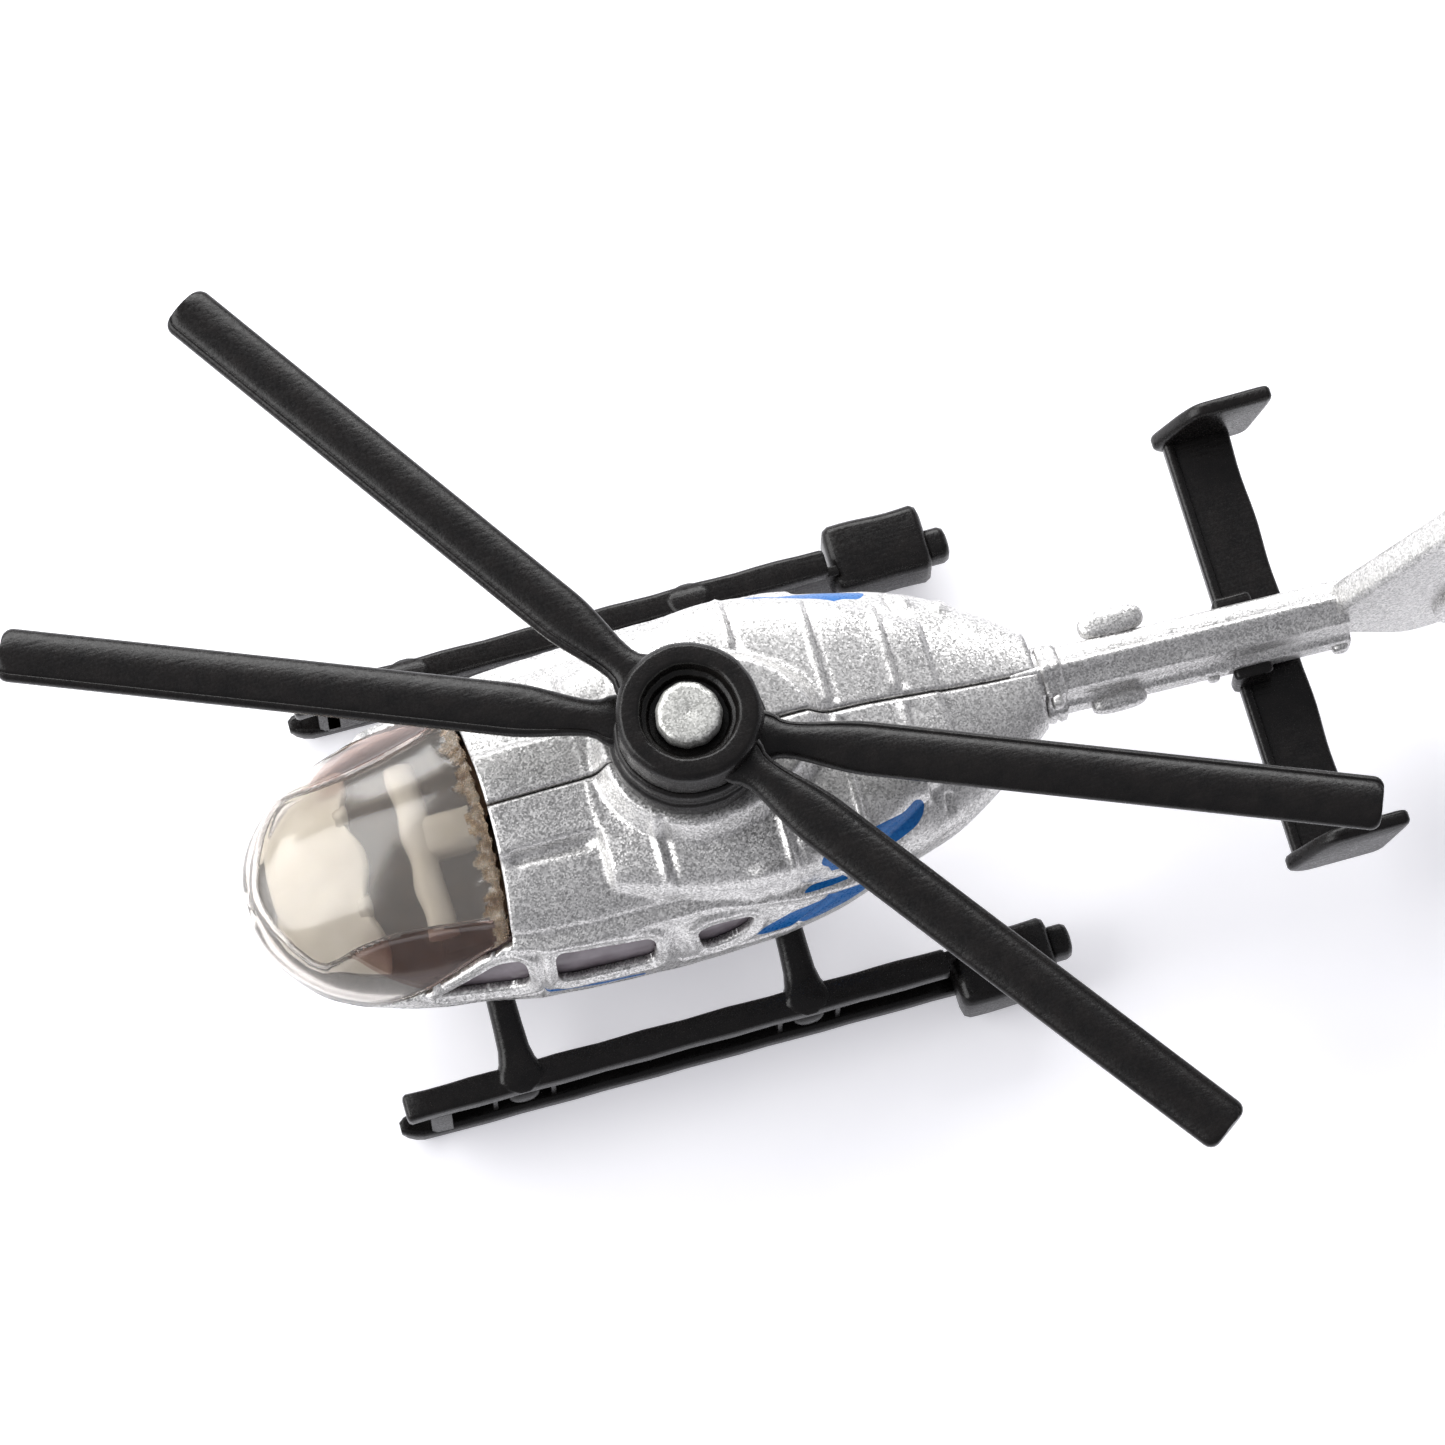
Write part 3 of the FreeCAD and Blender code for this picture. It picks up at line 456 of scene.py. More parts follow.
# ------------------------------------------------------------------ fuselage surface
# Cross-sections: place ahead of the mast, half width, heights of the underside, of the widest
# level and of the top, and the squareness of the upper half.
SECTIONS = [
    (25.75, 0.9, 8.5, 9.3, 10.1, 2.0),
    (25.6, 1.75, 8.1, 9.3, 10.5, 2.0),
    (25.2, 2.9, 7.4, 9.2, 11.05, 2.0),
    (24.0, 4.65, 6.4, 9.1, 12.0, 2.0),
    (22.2, 6.2, 5.4, 9.0, 13.1, 2.0),
    (20.1, 7.15, 4.8, 9.0, 14.0, 2.0),
    (17.0, 8.0, 4.4, 9.0, 15.05, 2.0),
    (13.6, 8.55, 4.3, 9.1, 15.95, 2.2),
    (11.0, 9.1, 4.3, 9.1, 16.4, 2.6),
    (7.0, 9.35, 4.3, 9.0, 16.5, 2.8),
    (2.0, 9.5, 4.3, 9.1, 16.6, 2.8),
    (-2.7, 9.45, 4.6, 9.8, 16.7, 2.7),
    (-6.2, 9.1, 5.5, 10.9, 16.8, 2.5),
    (-9.8, 8.25, 7.0, 11.9, 16.5, 2.3),
    (-13.6, 7.15, 8.5, 12.4, 15.7, 2.2),
    (-16.9, 5.3, 9.7, 12.6, 14.8, 2.2),
    (-20.2, 2.75, 10.5, 12.5, 14.2, 2.2),
]
LOWER_SQUARENESS = 2.5
PLACES, *COLUMNS = zip(*SECTIONS)
SECTION_CURVES = [through(PLACES, column) for column in COLUMNS]

# The raised engine cowling: place, half width at its foot, and height of its top.
COWLING = [
    (6.2, 6.4, 17.0), (2.5, 7.6, 17.3), (-3.0, 8.5, 17.4), (-9.0, 7.2, 17.0), (-14.4, 4.4, 15.7),
]
COWL_PLACES, COWL_WIDTHS, COWL_TOPS = zip(*COWLING)
COWL_WIDTH = through(COWL_PLACES, COWL_WIDTHS)
COWL_TOP = through(COWL_PLACES, COWL_TOPS)
COWL_FRONT, COWL_STEP, COWL_FOOT, COWL_REAR, COWL_SQUARENESS = 6.3, 0.5, 14.0, -14.4, 4.5
FAIRING_RADIUS, FAIRING_TOP, FAIRING_SLOPE, FAIRING_TAIL = 4.75, 18.6, 0.45, 1.45

# The middle of the cabin roof stands level with the cowling, between two low steps.
SPINE_HALF, SPINE_RISE = 3.0, 0.48

ROOF_FRONT, ROOF_BOW = 11.6, 0.011
PILLAR_TOP, SILL_FRONT, SILL = (11.6, 14.6), (20.6, 7.9), 7.9
CANOPY_GAP = 0.3
PILLAR_RUN = (SILL_FRONT[0] - PILLAR_TOP[0], SILL_FRONT[1] - PILLAR_TOP[1])
EXACT = 1e-5
NEAR = 0.3
SHELL_REAR, SEAM_HALF = -20.1, 0.02

WINDOWS = [
    [(16.9, 9.9), (15.3, 11.1), (13.3, 12.5), (11.7, 13.1), (11.6, 10.7), (13.2, 10.0)],
    [(10.1, 13.4), (4.4, 13.1), (4.6, 10.4), (10.1, 10.4)],
    [(2.1, 12.7), (1.2, 13.0), (-1.3, 12.9), (-0.9, 11.6), (0.4, 10.6), (1.8, 10.4)],
]
WINDOW_OUTLINES = [rounded_profile(outline, 0.7, 5) for outline in WINDOWS]


def skin_grid(places, shares):
    """Points of the port half: one row for each place, from the keel up to the roof line."""
    angles = np.linspace(-math.pi / 2, math.pi / 2, 721)
    rows = []
    for x in places:
        half, low, wide, high, square = (float(curve(x)) for curve in SECTION_CURVES)
        power = np.where(angles >= 0, 2 / square, 2 / LOWER_SQUARENESS)
        reach = np.where(angles >= 0, high - wide, wide - low)
        y = half * np.abs(np.cos(angles)) ** power
        y[0] = y[-1] = 0.0
        z = wide + reach * np.sign(angles) * np.abs(np.sin(angles)) ** power
        length = np.concatenate([[0.0], np.cumsum(np.hypot(np.diff(y), np.diff(z)))])
        wanted = shares * length[-1]
        row = [np.full(len(shares), x), np.interp(wanted, length, y), np.interp(wanted, length, z)]
        rows.append(np.stack(row, 1))
    return np.array(rows)


def blend_up(base, other, softness):
    """The higher of two heights, with a soft change where they meet."""
    gap = np.clip(0.5 + 0.5 * (other - base) / softness, 0.0, 1.0)
    return base * (1 - gap) + other * gap + softness * gap * (1 - gap)


def raise_roof(grid):
    """Lift the roof to the engine cowling and to the fairing round the mast."""
    x, y, z = grid[..., 0], grid[..., 1], grid[..., 2]
    width = COWL_WIDTH(x)
    reach = np.clip(y / width, 0.0, 0.9999)
    crown = (1 - reach**COWL_SQUARENESS) ** (1 / COWL_SQUARENESS)
    under = (y < width) & (x < COWL_FRONT) & (x > COWL_REAR)
    cowl = np.where(under, COWL_FOOT + (COWL_TOP(x) - COWL_FOOT) * crown, 0.0)
    step = fade(x, COWL_FRONT, COWL_FRONT - COWL_STEP)
    spine = fade(y, SPINE_HALF + 0.25, SPINE_HALF - 0.15) * fade(x, 4.8, 6.0) * fade(z, COWL_FOOT, 15.5)
    base = z + SPINE_RISE * spine
    lift = np.maximum(blend_up(base, cowl, 0.25) - base, 0.0) * step
    lifted = np.where(z > COWL_FOOT, base + lift, z)
    around = np.hypot(np.where(x < 0, x / FAIRING_TAIL, x), y)
    cone = FAIRING_TOP - np.maximum(around - FAIRING_RADIUS, 0.0) / FAIRING_SLOPE
    grid[..., 2] = np.where(z > COWL_FOOT, np.maximum(blend_up(lifted, cone, 0.5), lifted), z)
    return grid


def surface_normals(grid):
    along = np.gradient(grid, axis=0)
    up = np.gradient(grid, axis=1)
    normals = np.cross(along, up)
    normals /= np.maximum(np.linalg.norm(normals, axis=2, keepdims=True), 1e-9)
    facing = np.sign(np.mean(normals[..., 1]))
    return normals * facing


ROOF_SLOT = [(10.6, 3.35), (6.9, 3.5)]
# Ribs across the cowling: place, then the widths where each starts and ends.
COWL_RIBS = [(3.1, 3.9, 7.0), (-3.8, 5.0, 8.2), (-8.15, 0.6, 6.8), (-12.1, 0.6, 5.9)]
DOOR_LINES = [
    [(10.95, 13.8), (10.95, 8.0), (3.3, 8.0), (3.3, 13.8)],
    [(10.95, 9.3), (15.2, 8.1), (19.4, 8.0)],
    [(3.3, 9.6), (-3.2, 9.8), (-5.6, 12.6)],
]
GUTTER = [(19.6, 9.3), (12.6, 13.9), (9.0, 14.0), (1.0, 14.2), (-3.0, 13.6), (-8.0, 12.9)]
REAR_SLOT = [(-13.4, 5.75), (-13.25, 6.5)]
REAR_CREASE = [(-12.6, 12.7), (-18.5, 12.3)]
STARBOARD_STUDS = [(-14.1, 6.0), (-16.0, 5.3)]


def relief(x, y, z, port):
    """Cast detail, as a height above or below the plain skin."""
    high = fade(z, 13.6, 14.4)
    flank = fade(z, 14.6, 13.8)
    height = mark(y, 0.10, -0.22)
    for place, inner, outer in COWL_RIBS:
        across = fade(y, inner - 0.3, inner + 0.2) * fade(y, outer + 0.3, outer - 0.3)
        height += (mark(x - place, 0.2, 0.24) + mark(x - place + 0.42, 0.2, -0.16)) * across * high
    for outline in WINDOW_OUTLINES:
        away = path_distance(x, z, outline, closed=True)
        height += np.where(inside(x, z, outline), 0.0, mark(away - 0.5, 0.26, 0.24)) * flank
    for line in DOOR_LINES:
        height += mark(path_distance(x, z, line), 0.13, -0.18)
    height += mark(path_distance(x, z, GUTTER), 0.28, 0.22)
    height += mark(path_distance(x, z - 0.55, GUTTER), 0.16, -0.14)
    height += mark(path_distance(x, y, REAR_SLOT), 0.16, -0.35) * high
    height += mark(path_distance(x, z, REAR_CREASE), 0.22, -0.12)
    if port:
        height += mark(path_distance(x, y, ROOF_SLOT), 0.35, -0.3) * high
        height += mark(np.hypot((x + 2.2) / 0.95, (y - 7.85) / 0.36), 1.0, 0.3) * high
    else:
        for place, out in STARBOARD_STUDS:
            height += mark(np.hypot(x - place, y - out), 0.45, 0.28) * fade(z, 12.6, 13.4)
    return height + 0.02 * np.sin(1.9 * x + 0.7 * z) * np.sin(1.3 * z - 0.8 * y + 0.5 * x)


def split(shell, faces, place, normal, **options):
    """Cut some faces of a mesh with a plane."""
    faces = list(faces)
    edges = dict.fromkeys(edge for face in faces for edge in face.edges)
    corners = dict.fromkeys(corner for face in faces for corner in face.verts)
    parts = [*corners, *edges, *faces]
    return bmesh.ops.bisect_plane(shell, geom=parts, dist=EXACT, plane_co=place, plane_no=normal, **options)


def on_side(sign, out, lowest):
    """A test for places on one side, at least so far out and so high."""
    def belongs(middle):
        return middle.y * sign > out and middle.z > lowest

    return belongs


def cut_along(shell, outline, axes, belongs):
    """Split the faces of a mesh exactly along a closed outline that is drawn in two axes."""
    first, second = axes
    for start, end in zip([outline[-1], *outline[:-1]], outline):
        run = (end[0] - start[0], end[1] - start[1])
        if math.hypot(*run) < EXACT / 10:
            continue
        low = [min(a, b) - NEAR for a, b in zip(start, end)]
        high = [max(a, b) + NEAR for a, b in zip(start, end)]
        near = []
        for face in shell.faces:
            middle = face.calc_center_median()
            if low[0] < middle[first] < high[0] and low[1] < middle[second] < high[1] and belongs(middle):
                near.append(face)
        place, normal = [0.0, 0.0, 0.0], [0.0, 0.0, 0.0]
        place[first], place[second] = start
        normal[first], normal[second] = -run[1], run[0]
        split(shell, near, place, normal)


def faces_within(shell, outline, axes, belongs):
    found = []
    for face in shell.faces:
        middle = face.calc_center_median()
        if belongs(middle) and inside(np.array(middle[axes[0]]), np.array(middle[axes[1]]), outline):
            found.append(face)
    return found


def add_shell(name, shell, materials, wall):
    """An object from an open shell: faces keep their material, and a wall grows inward."""
    for number, corner in enumerate(shell.verts):
        corner.index = number
    points = [tuple(corner.co) for corner in shell.verts]
    faces = [tuple(corner.index for corner in face.verts) for face in shell.faces]
    tones = [face.material_index for face in shell.faces]
    shell.free()
    item = add_mesh(name, points, faces, materials)
    item.data.polygons.foreach_set("material_index", tones)
    middle = Vector((MAST_X, 0.0, SHELL_MIDDLE * MM))
    if sum(face.normal.dot((face.center - middle).normalized()) for face in item.data.polygons) < 0:
        item.data.flip_normals()
    thickness = item.modifiers.new("wall", "SOLIDIFY")
    thickness.thickness = wall * MM
    thickness.offset = -1.0
    return item


def shell_from(grid, faces):
    """An editable mesh from a grid of points and the faces that are kept."""
    shell = bmesh.new()
    corners = [shell.verts.new(point) for point in grid.reshape(-1, 3)]
    for face in faces:
        shell.faces.new([corners[k] for k in face])
    bmesh.ops.delete(shell, geom=[corner for corner in shell.verts if not corner.link_faces], context="VERTS")
    return shell


def keep_below(shell, place, normal):
    """Cut a shell with a plane and drop what lies on the side the normal points to."""
    split(shell, shell.faces, place, normal, clear_outer=True)


# Printed blue shapes: side, the two axes they are drawn in, lowest height, and outline.
PLAN, ELEVATION = (0, 1), (0, 2)
PRINTS = [
    (1, PLAN, 13.8, [
        (-5.2, 8.12), (-5.7, 7.6), (-7.45, 7.15), (-9.4, 6.7), (-10.5, 6.4), (-11.4, 5.8), (-11.9, 5.85),
        (-11.7, 6.4), (-11.2, 6.9), (-10.2, 7.32), (-9.0, 7.7), (-7.6, 8.03), (-6.2, 8.1),
    ]),
    (1, PLAN, 13.0, [
        (-4.05, 8.8), (-4.55, 8.45), (-5.6, 8.38), (-6.6, 8.35), (-6.8, 8.54), (-5.85, 8.68), (-4.8, 8.78),
    ]),
    (1, ELEVATION, 9.0, [
        (-0.7, 10.9), (-1.8, 11.4), (-3.3, 12.3), (-5.1, 12.5), (-6.4, 12.9), (-7.3, 12.9), (-7.8, 11.5),
        (-6.6, 10.85), (-5.0, 10.4), (-3.2, 10.3), (-1.7, 10.3),
    ]),
    (1, ELEVATION, 7.5, [(11.0, 9.2), (8.0, 8.7), (5.2, 8.5), (5.2, 8.85), (8.0, 9.1), (11.0, 9.6)]),
    (-1, ELEVATION, 12.5, [
        (-4.9, 15.9), (-5.8, 16.3), (-7.6, 16.1), (-9.2, 15.1), (-10.7, 14.5), (-11.8, 14.45), (-12.3, 13.7),
        (-9.8, 13.3), (-7.7, 13.7), (-6.0, 14.7),
    ]),
]


def spaced(start, end, step):
    return np.linspace(start, end, max(2, int(round(abs(end - start) / step)) + 1))


def skin_places():
    """The places of the skin's rows, closest at the cowling's front step and at the nose."""
    step_rear = COWL_FRONT - COWL_STEP
    stretches = [
        (SHELL_REAR, -15.0, 0.25), (-15.0, step_rear, 0.16), (step_rear, COWL_FRONT, 0.1),
        (COWL_FRONT, ROOF_FRONT, 0.16), (ROOF_FRONT, 17.5, 0.18), (17.5, 25.0, 0.3), (25.0, 25.7, 0.1),
    ]
    return np.unique(np.round(np.concatenate([spaced(*stretch) for stretch in stretches]), 4))


def below_canopy(places, heights):
    """The faces of a half skin without what the clear nose covers."""
    rows, columns = heights.shape
    kept = []
    for number, face in enumerate(grid_faces(rows, columns)):
        row, column = divmod(number, columns - 1)
        x = (places[row] + places[row + 1]) / 2
        z = heights[row : row + 2, column : column + 2].mean()
        slant = PILLAR_TOP[1] + (x - PILLAR_TOP[0]) * PILLAR_RUN[1] / PILLAR_RUN[0]
        if x <= ROOF_FRONT or z <= max(slant, SILL) + 0.8:
            kept.append(face)
    return kept


def skin_half(port):
    """The outer skin on one side of the seam, with its openings cut through."""
    places = skin_places()
    shares = np.concatenate([
        spaced(0.0, 0.34, 0.012)[:-1], spaced(0.34, 0.62, 0.0055)[:-1], spaced(0.62, 1.0, 0.0058),
    ])
    grid = raise_roof(skin_grid(places, shares))
    height = relief(grid[..., 0], grid[..., 1], grid[..., 2], port)
    grid = grid + surface_normals(grid) * height[..., None]
    grid[:, 0, 1] = grid[:, -1, 1] = SEAM_HALF
    x, y, z = grid[..., 0], grid[..., 1], grid[..., 2]
    bowed = ROOF_BOW * y**2 * fade(x, 8.5, ROOF_FRONT) * fade(x, 14.0, ROOF_FRONT) * fade(z, 13.2, 14.4)
    kept = below_canopy(places, z)
    x += bowed
    sign = 1 if port else -1
    if not port:
        y *= -1
        kept = [tuple(reversed(face)) for face in kept]
    shell = shell_from(grid, kept)
    trim_for_canopy(shell)
    flank = on_side(sign, 5.0, 0.0)
    for outline in WINDOW_OUTLINES:
        cut_along(shell, outline, ELEVATION, flank)
        bmesh.ops.delete(shell, geom=faces_within(shell, outline, ELEVATION, flank), context="FACES")
    for side, axes, lowest, outline in PRINTS:
        if side != sign:
            continue
        printed = on_side(sign, 4.5, lowest)
        drawn = rounded_profile(outline, 0.35, 3)
        if axes == PLAN:
            drawn = [(a, b * sign) for a, b in drawn]
        cut_along(shell, drawn, axes, printed)
        for face in faces_within(shell, drawn, axes, printed):
            face.material_index = 1
    return add_shell("skin_port" if port else "skin_starboard", shell, [silver, blue], 0.55)


def window_strip(port):
    """The tinted strip that lies behind one side's window openings."""
    grid = skin_grid(spaced(-2.0, 17.3, 0.25), spaced(0.4, 0.75, 0.008))
    grid = grid - surface_normals(grid) * 0.62
    if not port:
        grid[..., 1] *= -1
    shell = shell_from(grid, grid_faces(*grid.shape[:2]))
    keep_below(shell, (PILLAR_TOP[0], 0, PILLAR_TOP[1] - 0.7), (-PILLAR_RUN[1], 0, PILLAR_RUN[0]))
    keep_below(shell, (0, 0, 13.9), (0, 0, 1))
    keep_below(shell, (0, 0, 9.3), (0, 0, -1))
    return add_shell("window_strip_port" if port else "window_strip_starboard", shell, [tinted], 0.4)


def trim_for_canopy(shell):
    """Cut the cabin sides along the slanting pillar and the sill under the clear nose."""
    ahead = [face for face in shell.faces if face.calc_center_median().x > ROOF_FRONT - 0.1]
    cut = split(shell, ahead, (PILLAR_TOP[0], 0, PILLAR_TOP[1]), (-PILLAR_RUN[1], 0, PILLAR_RUN[0]))
    ahead = [part for part in cut["geom"] if isinstance(part, bmesh.types.BMFace)]
    split(shell, ahead, (0, 0, SILL), (0, 0, 1))
    gone = []
    for face in shell.faces:
        middle = face.calc_center_median()
        above = (middle.z - PILLAR_TOP[1]) * PILLAR_RUN[0] > (middle.x - PILLAR_TOP[0]) * PILLAR_RUN[1]
        roof_edge = ROOF_FRONT + ROOF_BOW * middle.y**2
        if above and middle.z > SILL and middle.x > roof_edge - 0.02:
            gone.append(face)
    bmesh.ops.delete(shell, geom=gone, context="FACES")


# ------------------------------------------------------------------ clear nose
CREASE = [
    (25.1, 0.0), (25.0, 0.8), (24.6, 2.0), (23.9, 3.4), (23.1, 4.5), (22.4, 5.05), (21.6, 5.1),
    (20.5, 4.95), (18.7, 4.95), (17.0, 5.15), (13.9, 5.7), (11.6, 6.2),
]
CREASE_REGION = CREASE + [(11.0, 6.3), (11.0, 0.0)]
# The side lights' lower edge rises toward the nose: a place on it and the way across it.
SIDE_LIGHT_FOOT, SIDE_LIGHT_UP = Vector((15.0, 0.0, 9.6)), Vector((-0.44, 0.0, 1.0))


def mirrored(grid):
    """Both sides from a port half that ends on the middle line."""
    return np.concatenate([grid, grid[:, -2::-1] * np.array([1, -1, 1])], 1)


def canopy_grid():
    """The clear nose's surface: a raised screen inside a rounded crease, and a melted rear edge."""
    starts = ROOF_FRONT + CANOPY_GAP
    nose = 25.7 - 0.5 * np.linspace(1, 0, 9) ** 2
    places = np.concatenate([spaced(starts, 24.0, 0.2), spaced(24.0, 25.2, 0.12), nose])
    places = np.unique(np.round(places, 4))
    grid = skin_grid(places, spaced(0.25, 1.0, 0.007))
    x, y, z = grid[..., 0], grid[..., 1], grid[..., 2]
    upper = fade(z, 9.4, 10.2)
    away = path_distance(x, y, CREASE)
    screen = np.where(inside(x, y, CREASE_REGION), 0.14, 0.0) * fade(away, 0.0, 0.4)
    melted = fade(x, 13.1, 12.4) * (np.sin(7.3 * y + 2.0 * np.sin(3.1 * x)) * np.sin(5.9 * z + 4.0 * x) - 0.4)
    height = (mark(away, 0.17, 0.22) + screen) * upper - 0.04 + 0.07 * melted
    grid = grid + surface_normals(grid) * height[..., None]
    grid[:, -1, 1] = 0.0
    grid[..., 0] += ROOF_BOW * grid[..., 1] ** 2 * fade(grid[..., 0], 15.0, starts)
    grid = mirrored(grid)
    grid[-1] = grid[-1].mean(0)
    return grid


def canopy_piece():
    """The clear nose in one shell: screen, tinted side lights and a scorched rear edge."""
    grid = canopy_grid()
    shell = shell_from(grid, grid_faces(*grid.shape[:2]))
    bmesh.ops.remove_doubles(shell, verts=shell.verts, dist=10 * EXACT)
    keep_below(shell, (PILLAR_TOP[0] + CANOPY_GAP, 0, PILLAR_TOP[1]), (PILLAR_RUN[1], 0, -PILLAR_RUN[0]))
    keep_below(shell, (0, 0, SILL + CANOPY_GAP), (0, 0, -1))
    split(shell, shell.faces, SIDE_LIGHT_FOOT, SIDE_LIGHT_UP)
    for face in shell.faces:
        middle = face.calc_center_median()
        ragged = 0.25 * math.sin(2.7 * middle.y) + 0.15 * math.sin(7.1 * middle.y)
        if middle.x < 12.7 + ragged + ROOF_BOW * middle.y**2:
            face.material_index = 1
        elif (middle - SIDE_LIGHT_FOOT).dot(SIDE_LIGHT_UP) > 0:
            if not inside(middle.x, abs(middle.y), CREASE_REGION):
                face.material_index = 2
    return add_shell("canopy_shell", shell, [smoke, scorched, side_smoke], 0.6)


def cabin_dash_and_painted_reflection():
    """A pale shroud over the instrument panel, close under the front of the screen; its cream is partly the
    panel's own colour and partly a painted reflection, standing for the milky reflection on the front of the
    screen.
    """
    grid = skin_grid(spaced(19.4, 24.8, 0.25), spaced(0.6, 1.0, 0.012))
    grid[..., 0] -= fade(grid[..., 0], 20.3, 19.4) * 0.5 * np.cos(1.1 * grid[..., 1])
    grid = grid - surface_normals(grid) * 1.1
    grid[:, -1, 1] = 0.0
    grid[..., 2] += 0.12 * np.sin(2.1 * grid[..., 1]) * np.sin(1.1 * grid[..., 0])
    grid = mirrored(grid)
    return add_shell("cabin_dash_and_painted_reflection", shell_from(grid, grid_faces(*grid.shape[:2])), [cream], 0.4)


attach(skin_half(True), "airframe", "silver_paint", "body_port")
attach(skin_half(False), "airframe", "silver_paint", "body_starboard")
attach(canopy_piece(), "airframe", "smoke_clear", "canopy")
attach(window_strip(True), "airframe", "window_clear", "side_windows_port")
attach(window_strip(False), "airframe", "window_clear", "side_windows_starboard")
attach(cabin_dash_and_painted_reflection(), "airframe", "cabin_plastic")


# ------------------------------------------------------------------ tail boom and fin
BOOM_FRONT, BOOM_REAR, BOOM_HALF = -18.6, -38.3, 1.8
BOOM_RIDGE_FRONT, BOOM_RIDGE_REAR, BOOM_DEPTH = 14.4, 12.6, 3.8
TAILPLANE_LEVEL = 9.8


def boom_section(x):
    """A crest over two slopes, each of which ends in a steep rib."""
    share = (x - BOOM_FRONT) / (BOOM_REAR - BOOM_FRONT)
    top = BOOM_RIDGE_FRONT + share * (BOOM_RIDGE_REAR - BOOM_RIDGE_FRONT)
    low = top - BOOM_DEPTH
    rib = BOOM_HALF + 0.06
    half = [
        (0.0, top), (0.16, top - 0.03), (0.30, top - 0.16), (0.42, top - 0.30), (1.10, top - 0.62),
        (1.22, top - 0.64), (1.32, top - 0.78), (1.36, top - 1.75), (1.42, top - 1.92), (1.66, top - 2.22),
        (1.76, top - 2.26), (rib, top - 2.42), (rib, low + 0.50), (rib - 0.11, low + 0.20), (1.40, low),
    ]
    return [(x, y, z) for y, z in half] + [(x, -y, z) for y, z in reversed(half[1:])]


def tail_boom():
    sections = [boom_section(x) for x in spaced(BOOM_FRONT, BOOM_REAR, 0.5)]
    return loft("tail_boom", sections, [silver], 60)


LUMP_ROWS, LUMP_COLUMNS, LUMP_ROUNDNESS = 24, 48, 0.72


def soft_lump(name, place, sizes):
    """A pillow-like cast lump: squarer than an ellipsoid, flattened where it is broad."""
    points = []
    for lift in np.linspace(-math.pi / 2, math.pi / 2, LUMP_ROWS + 1):
        for turn in np.linspace(0.0, math.tau, LUMP_COLUMNS, endpoint=False):
            unit = (math.cos(lift) * math.cos(turn), math.cos(lift) * math.sin(turn), math.sin(lift))
            shaped = [math.copysign(abs(value) ** LUMP_ROUNDNESS, value) for value in unit]
            points.append(tuple(place[k] + sizes[k] * shaped[k] for k in range(3)))
    item = add_mesh(name, points, grid_faces(LUMP_ROWS + 1, LUMP_COLUMNS, closed=True), [silver])
    clean(item, merge=True)
    return item


COLLAR_HALF_HEIGHT = 2.2
# The collar's steps: place along the boom, and how far it stands out there.
COLLAR = [
    (-20.35, 0.10), (-20.45, 0.28), (-20.8, 0.32), (-20.95, 0.16), (-21.15, 0.30), (-21.45, 0.26),
    (-21.6, 0.05),
]


def boom_collar():
    """The stepped collar where the boom meets the tail cone."""
    middle = BOOM_RIDGE_FRONT - BOOM_DEPTH / 2
    sections = []
    for place, grow in COLLAR:
        wider, taller = 1 + grow / BOOM_HALF, 1 + grow / COLLAR_HALF_HEIGHT
        sections.append([(x, y * wider, middle + (z - middle) * taller) for x, y, z in boom_section(place)])
    return loft("boom_collar", sections, [silver], 60)


attach(boom_collar(), "airframe", "silver_paint", "body_starboard")
LUMPS = {
    "collar_knob": ((-20.9, 1.75, 13.2), (0.34, 0.42, 0.45)),
    "boom_lump_port": ((-24.5, 2.1, 11.4), (1.6, 0.55, 0.5)),
    "boom_lump_starboard": ((-25.1, -2.05, 12.9), (1.9, 0.8, 0.6)),
    "boom_nub_front": ((-30.2, 1.80, 10.1), (0.35, 0.30, 0.35)),
    "boom_nub_rear": ((-37.7, 1.85, 9.6), (0.50, 0.38, 0.45)),
}
for lump_name, (lump_place, lump_sizes) in LUMPS.items():
    attach(soft_lump(lump_name, lump_place, lump_sizes), "airframe", "silver_paint", "body_starboard")
attach(tail_boom(), "airframe", "silver_paint", "body_starboard")


def plate(name, outline, layers, material, sign=1, lean=0.0):
    """An upright plate with rounded edges, through (inset, distance out); it may lean above the tailplane."""
    middle = np.mean(np.array(outline), 0)
    rings = []
    for inset, out in layers:
        ring = []
        for x, z in outline:
            toward = Vector((middle[0] - x, middle[1] - z)).normalized() * inset
            ring.append((x + toward.x, sign * (out + lean * (z - TAILPLANE_LEVEL)), z + toward.y))
        rings.append(ring)
    return loft(name, rings, [material], 50)


FIN_HALF = 0.9
FIN_OUTLINE = [
    (-37.6, 9.0), (-37.6, 12.7), (-45.4, 23.2), (-49.6, 23.5), (-48.5, 15.2), (-48.5, 6.2), (-42.3, 5.2),
]


def tail_fin():
    """The swept fin above and below the shroud."""
    half_layers = [(0.5, FIN_HALF), (0.12, FIN_HALF - 0.12), (0.0, FIN_HALF - 0.4)]
    layers = [(inset, -out) for inset, out in half_layers] + half_layers[::-1]
    return plate("tail_fin", rounded_profile(FIN_OUTLINE, 1.2, 6), layers, silver)


SHROUD = (-46.98, 9.4)


SHROUD_STEPS = 96


def tail_shroud():
    """A turned ring with a sunken fan disc, laid across the tail."""
    half = [(0.0, 1.3), (0.8, 1.3), (0.95, 0.7), (2.45, 0.6), (2.6, 1.5), (3.5, 1.5)]
    profile = rounded_profile(half + [(radius, -out) for radius, out in reversed(half)], 0.22, 3)
    points = []
    for angle in np.linspace(0.0, math.tau, SHROUD_STEPS, endpoint=False):
        for radius, out in profile:
            points.append((SHROUD[0] + radius * math.cos(angle), out, SHROUD[1] + radius * math.sin(angle)))
    item = add_mesh("tail_shroud", points, grid_faces(SHROUD_STEPS, len(profile), turned=True), [silver])
    clean(item)
    keep_edges_sharp(item, 50)
    return item


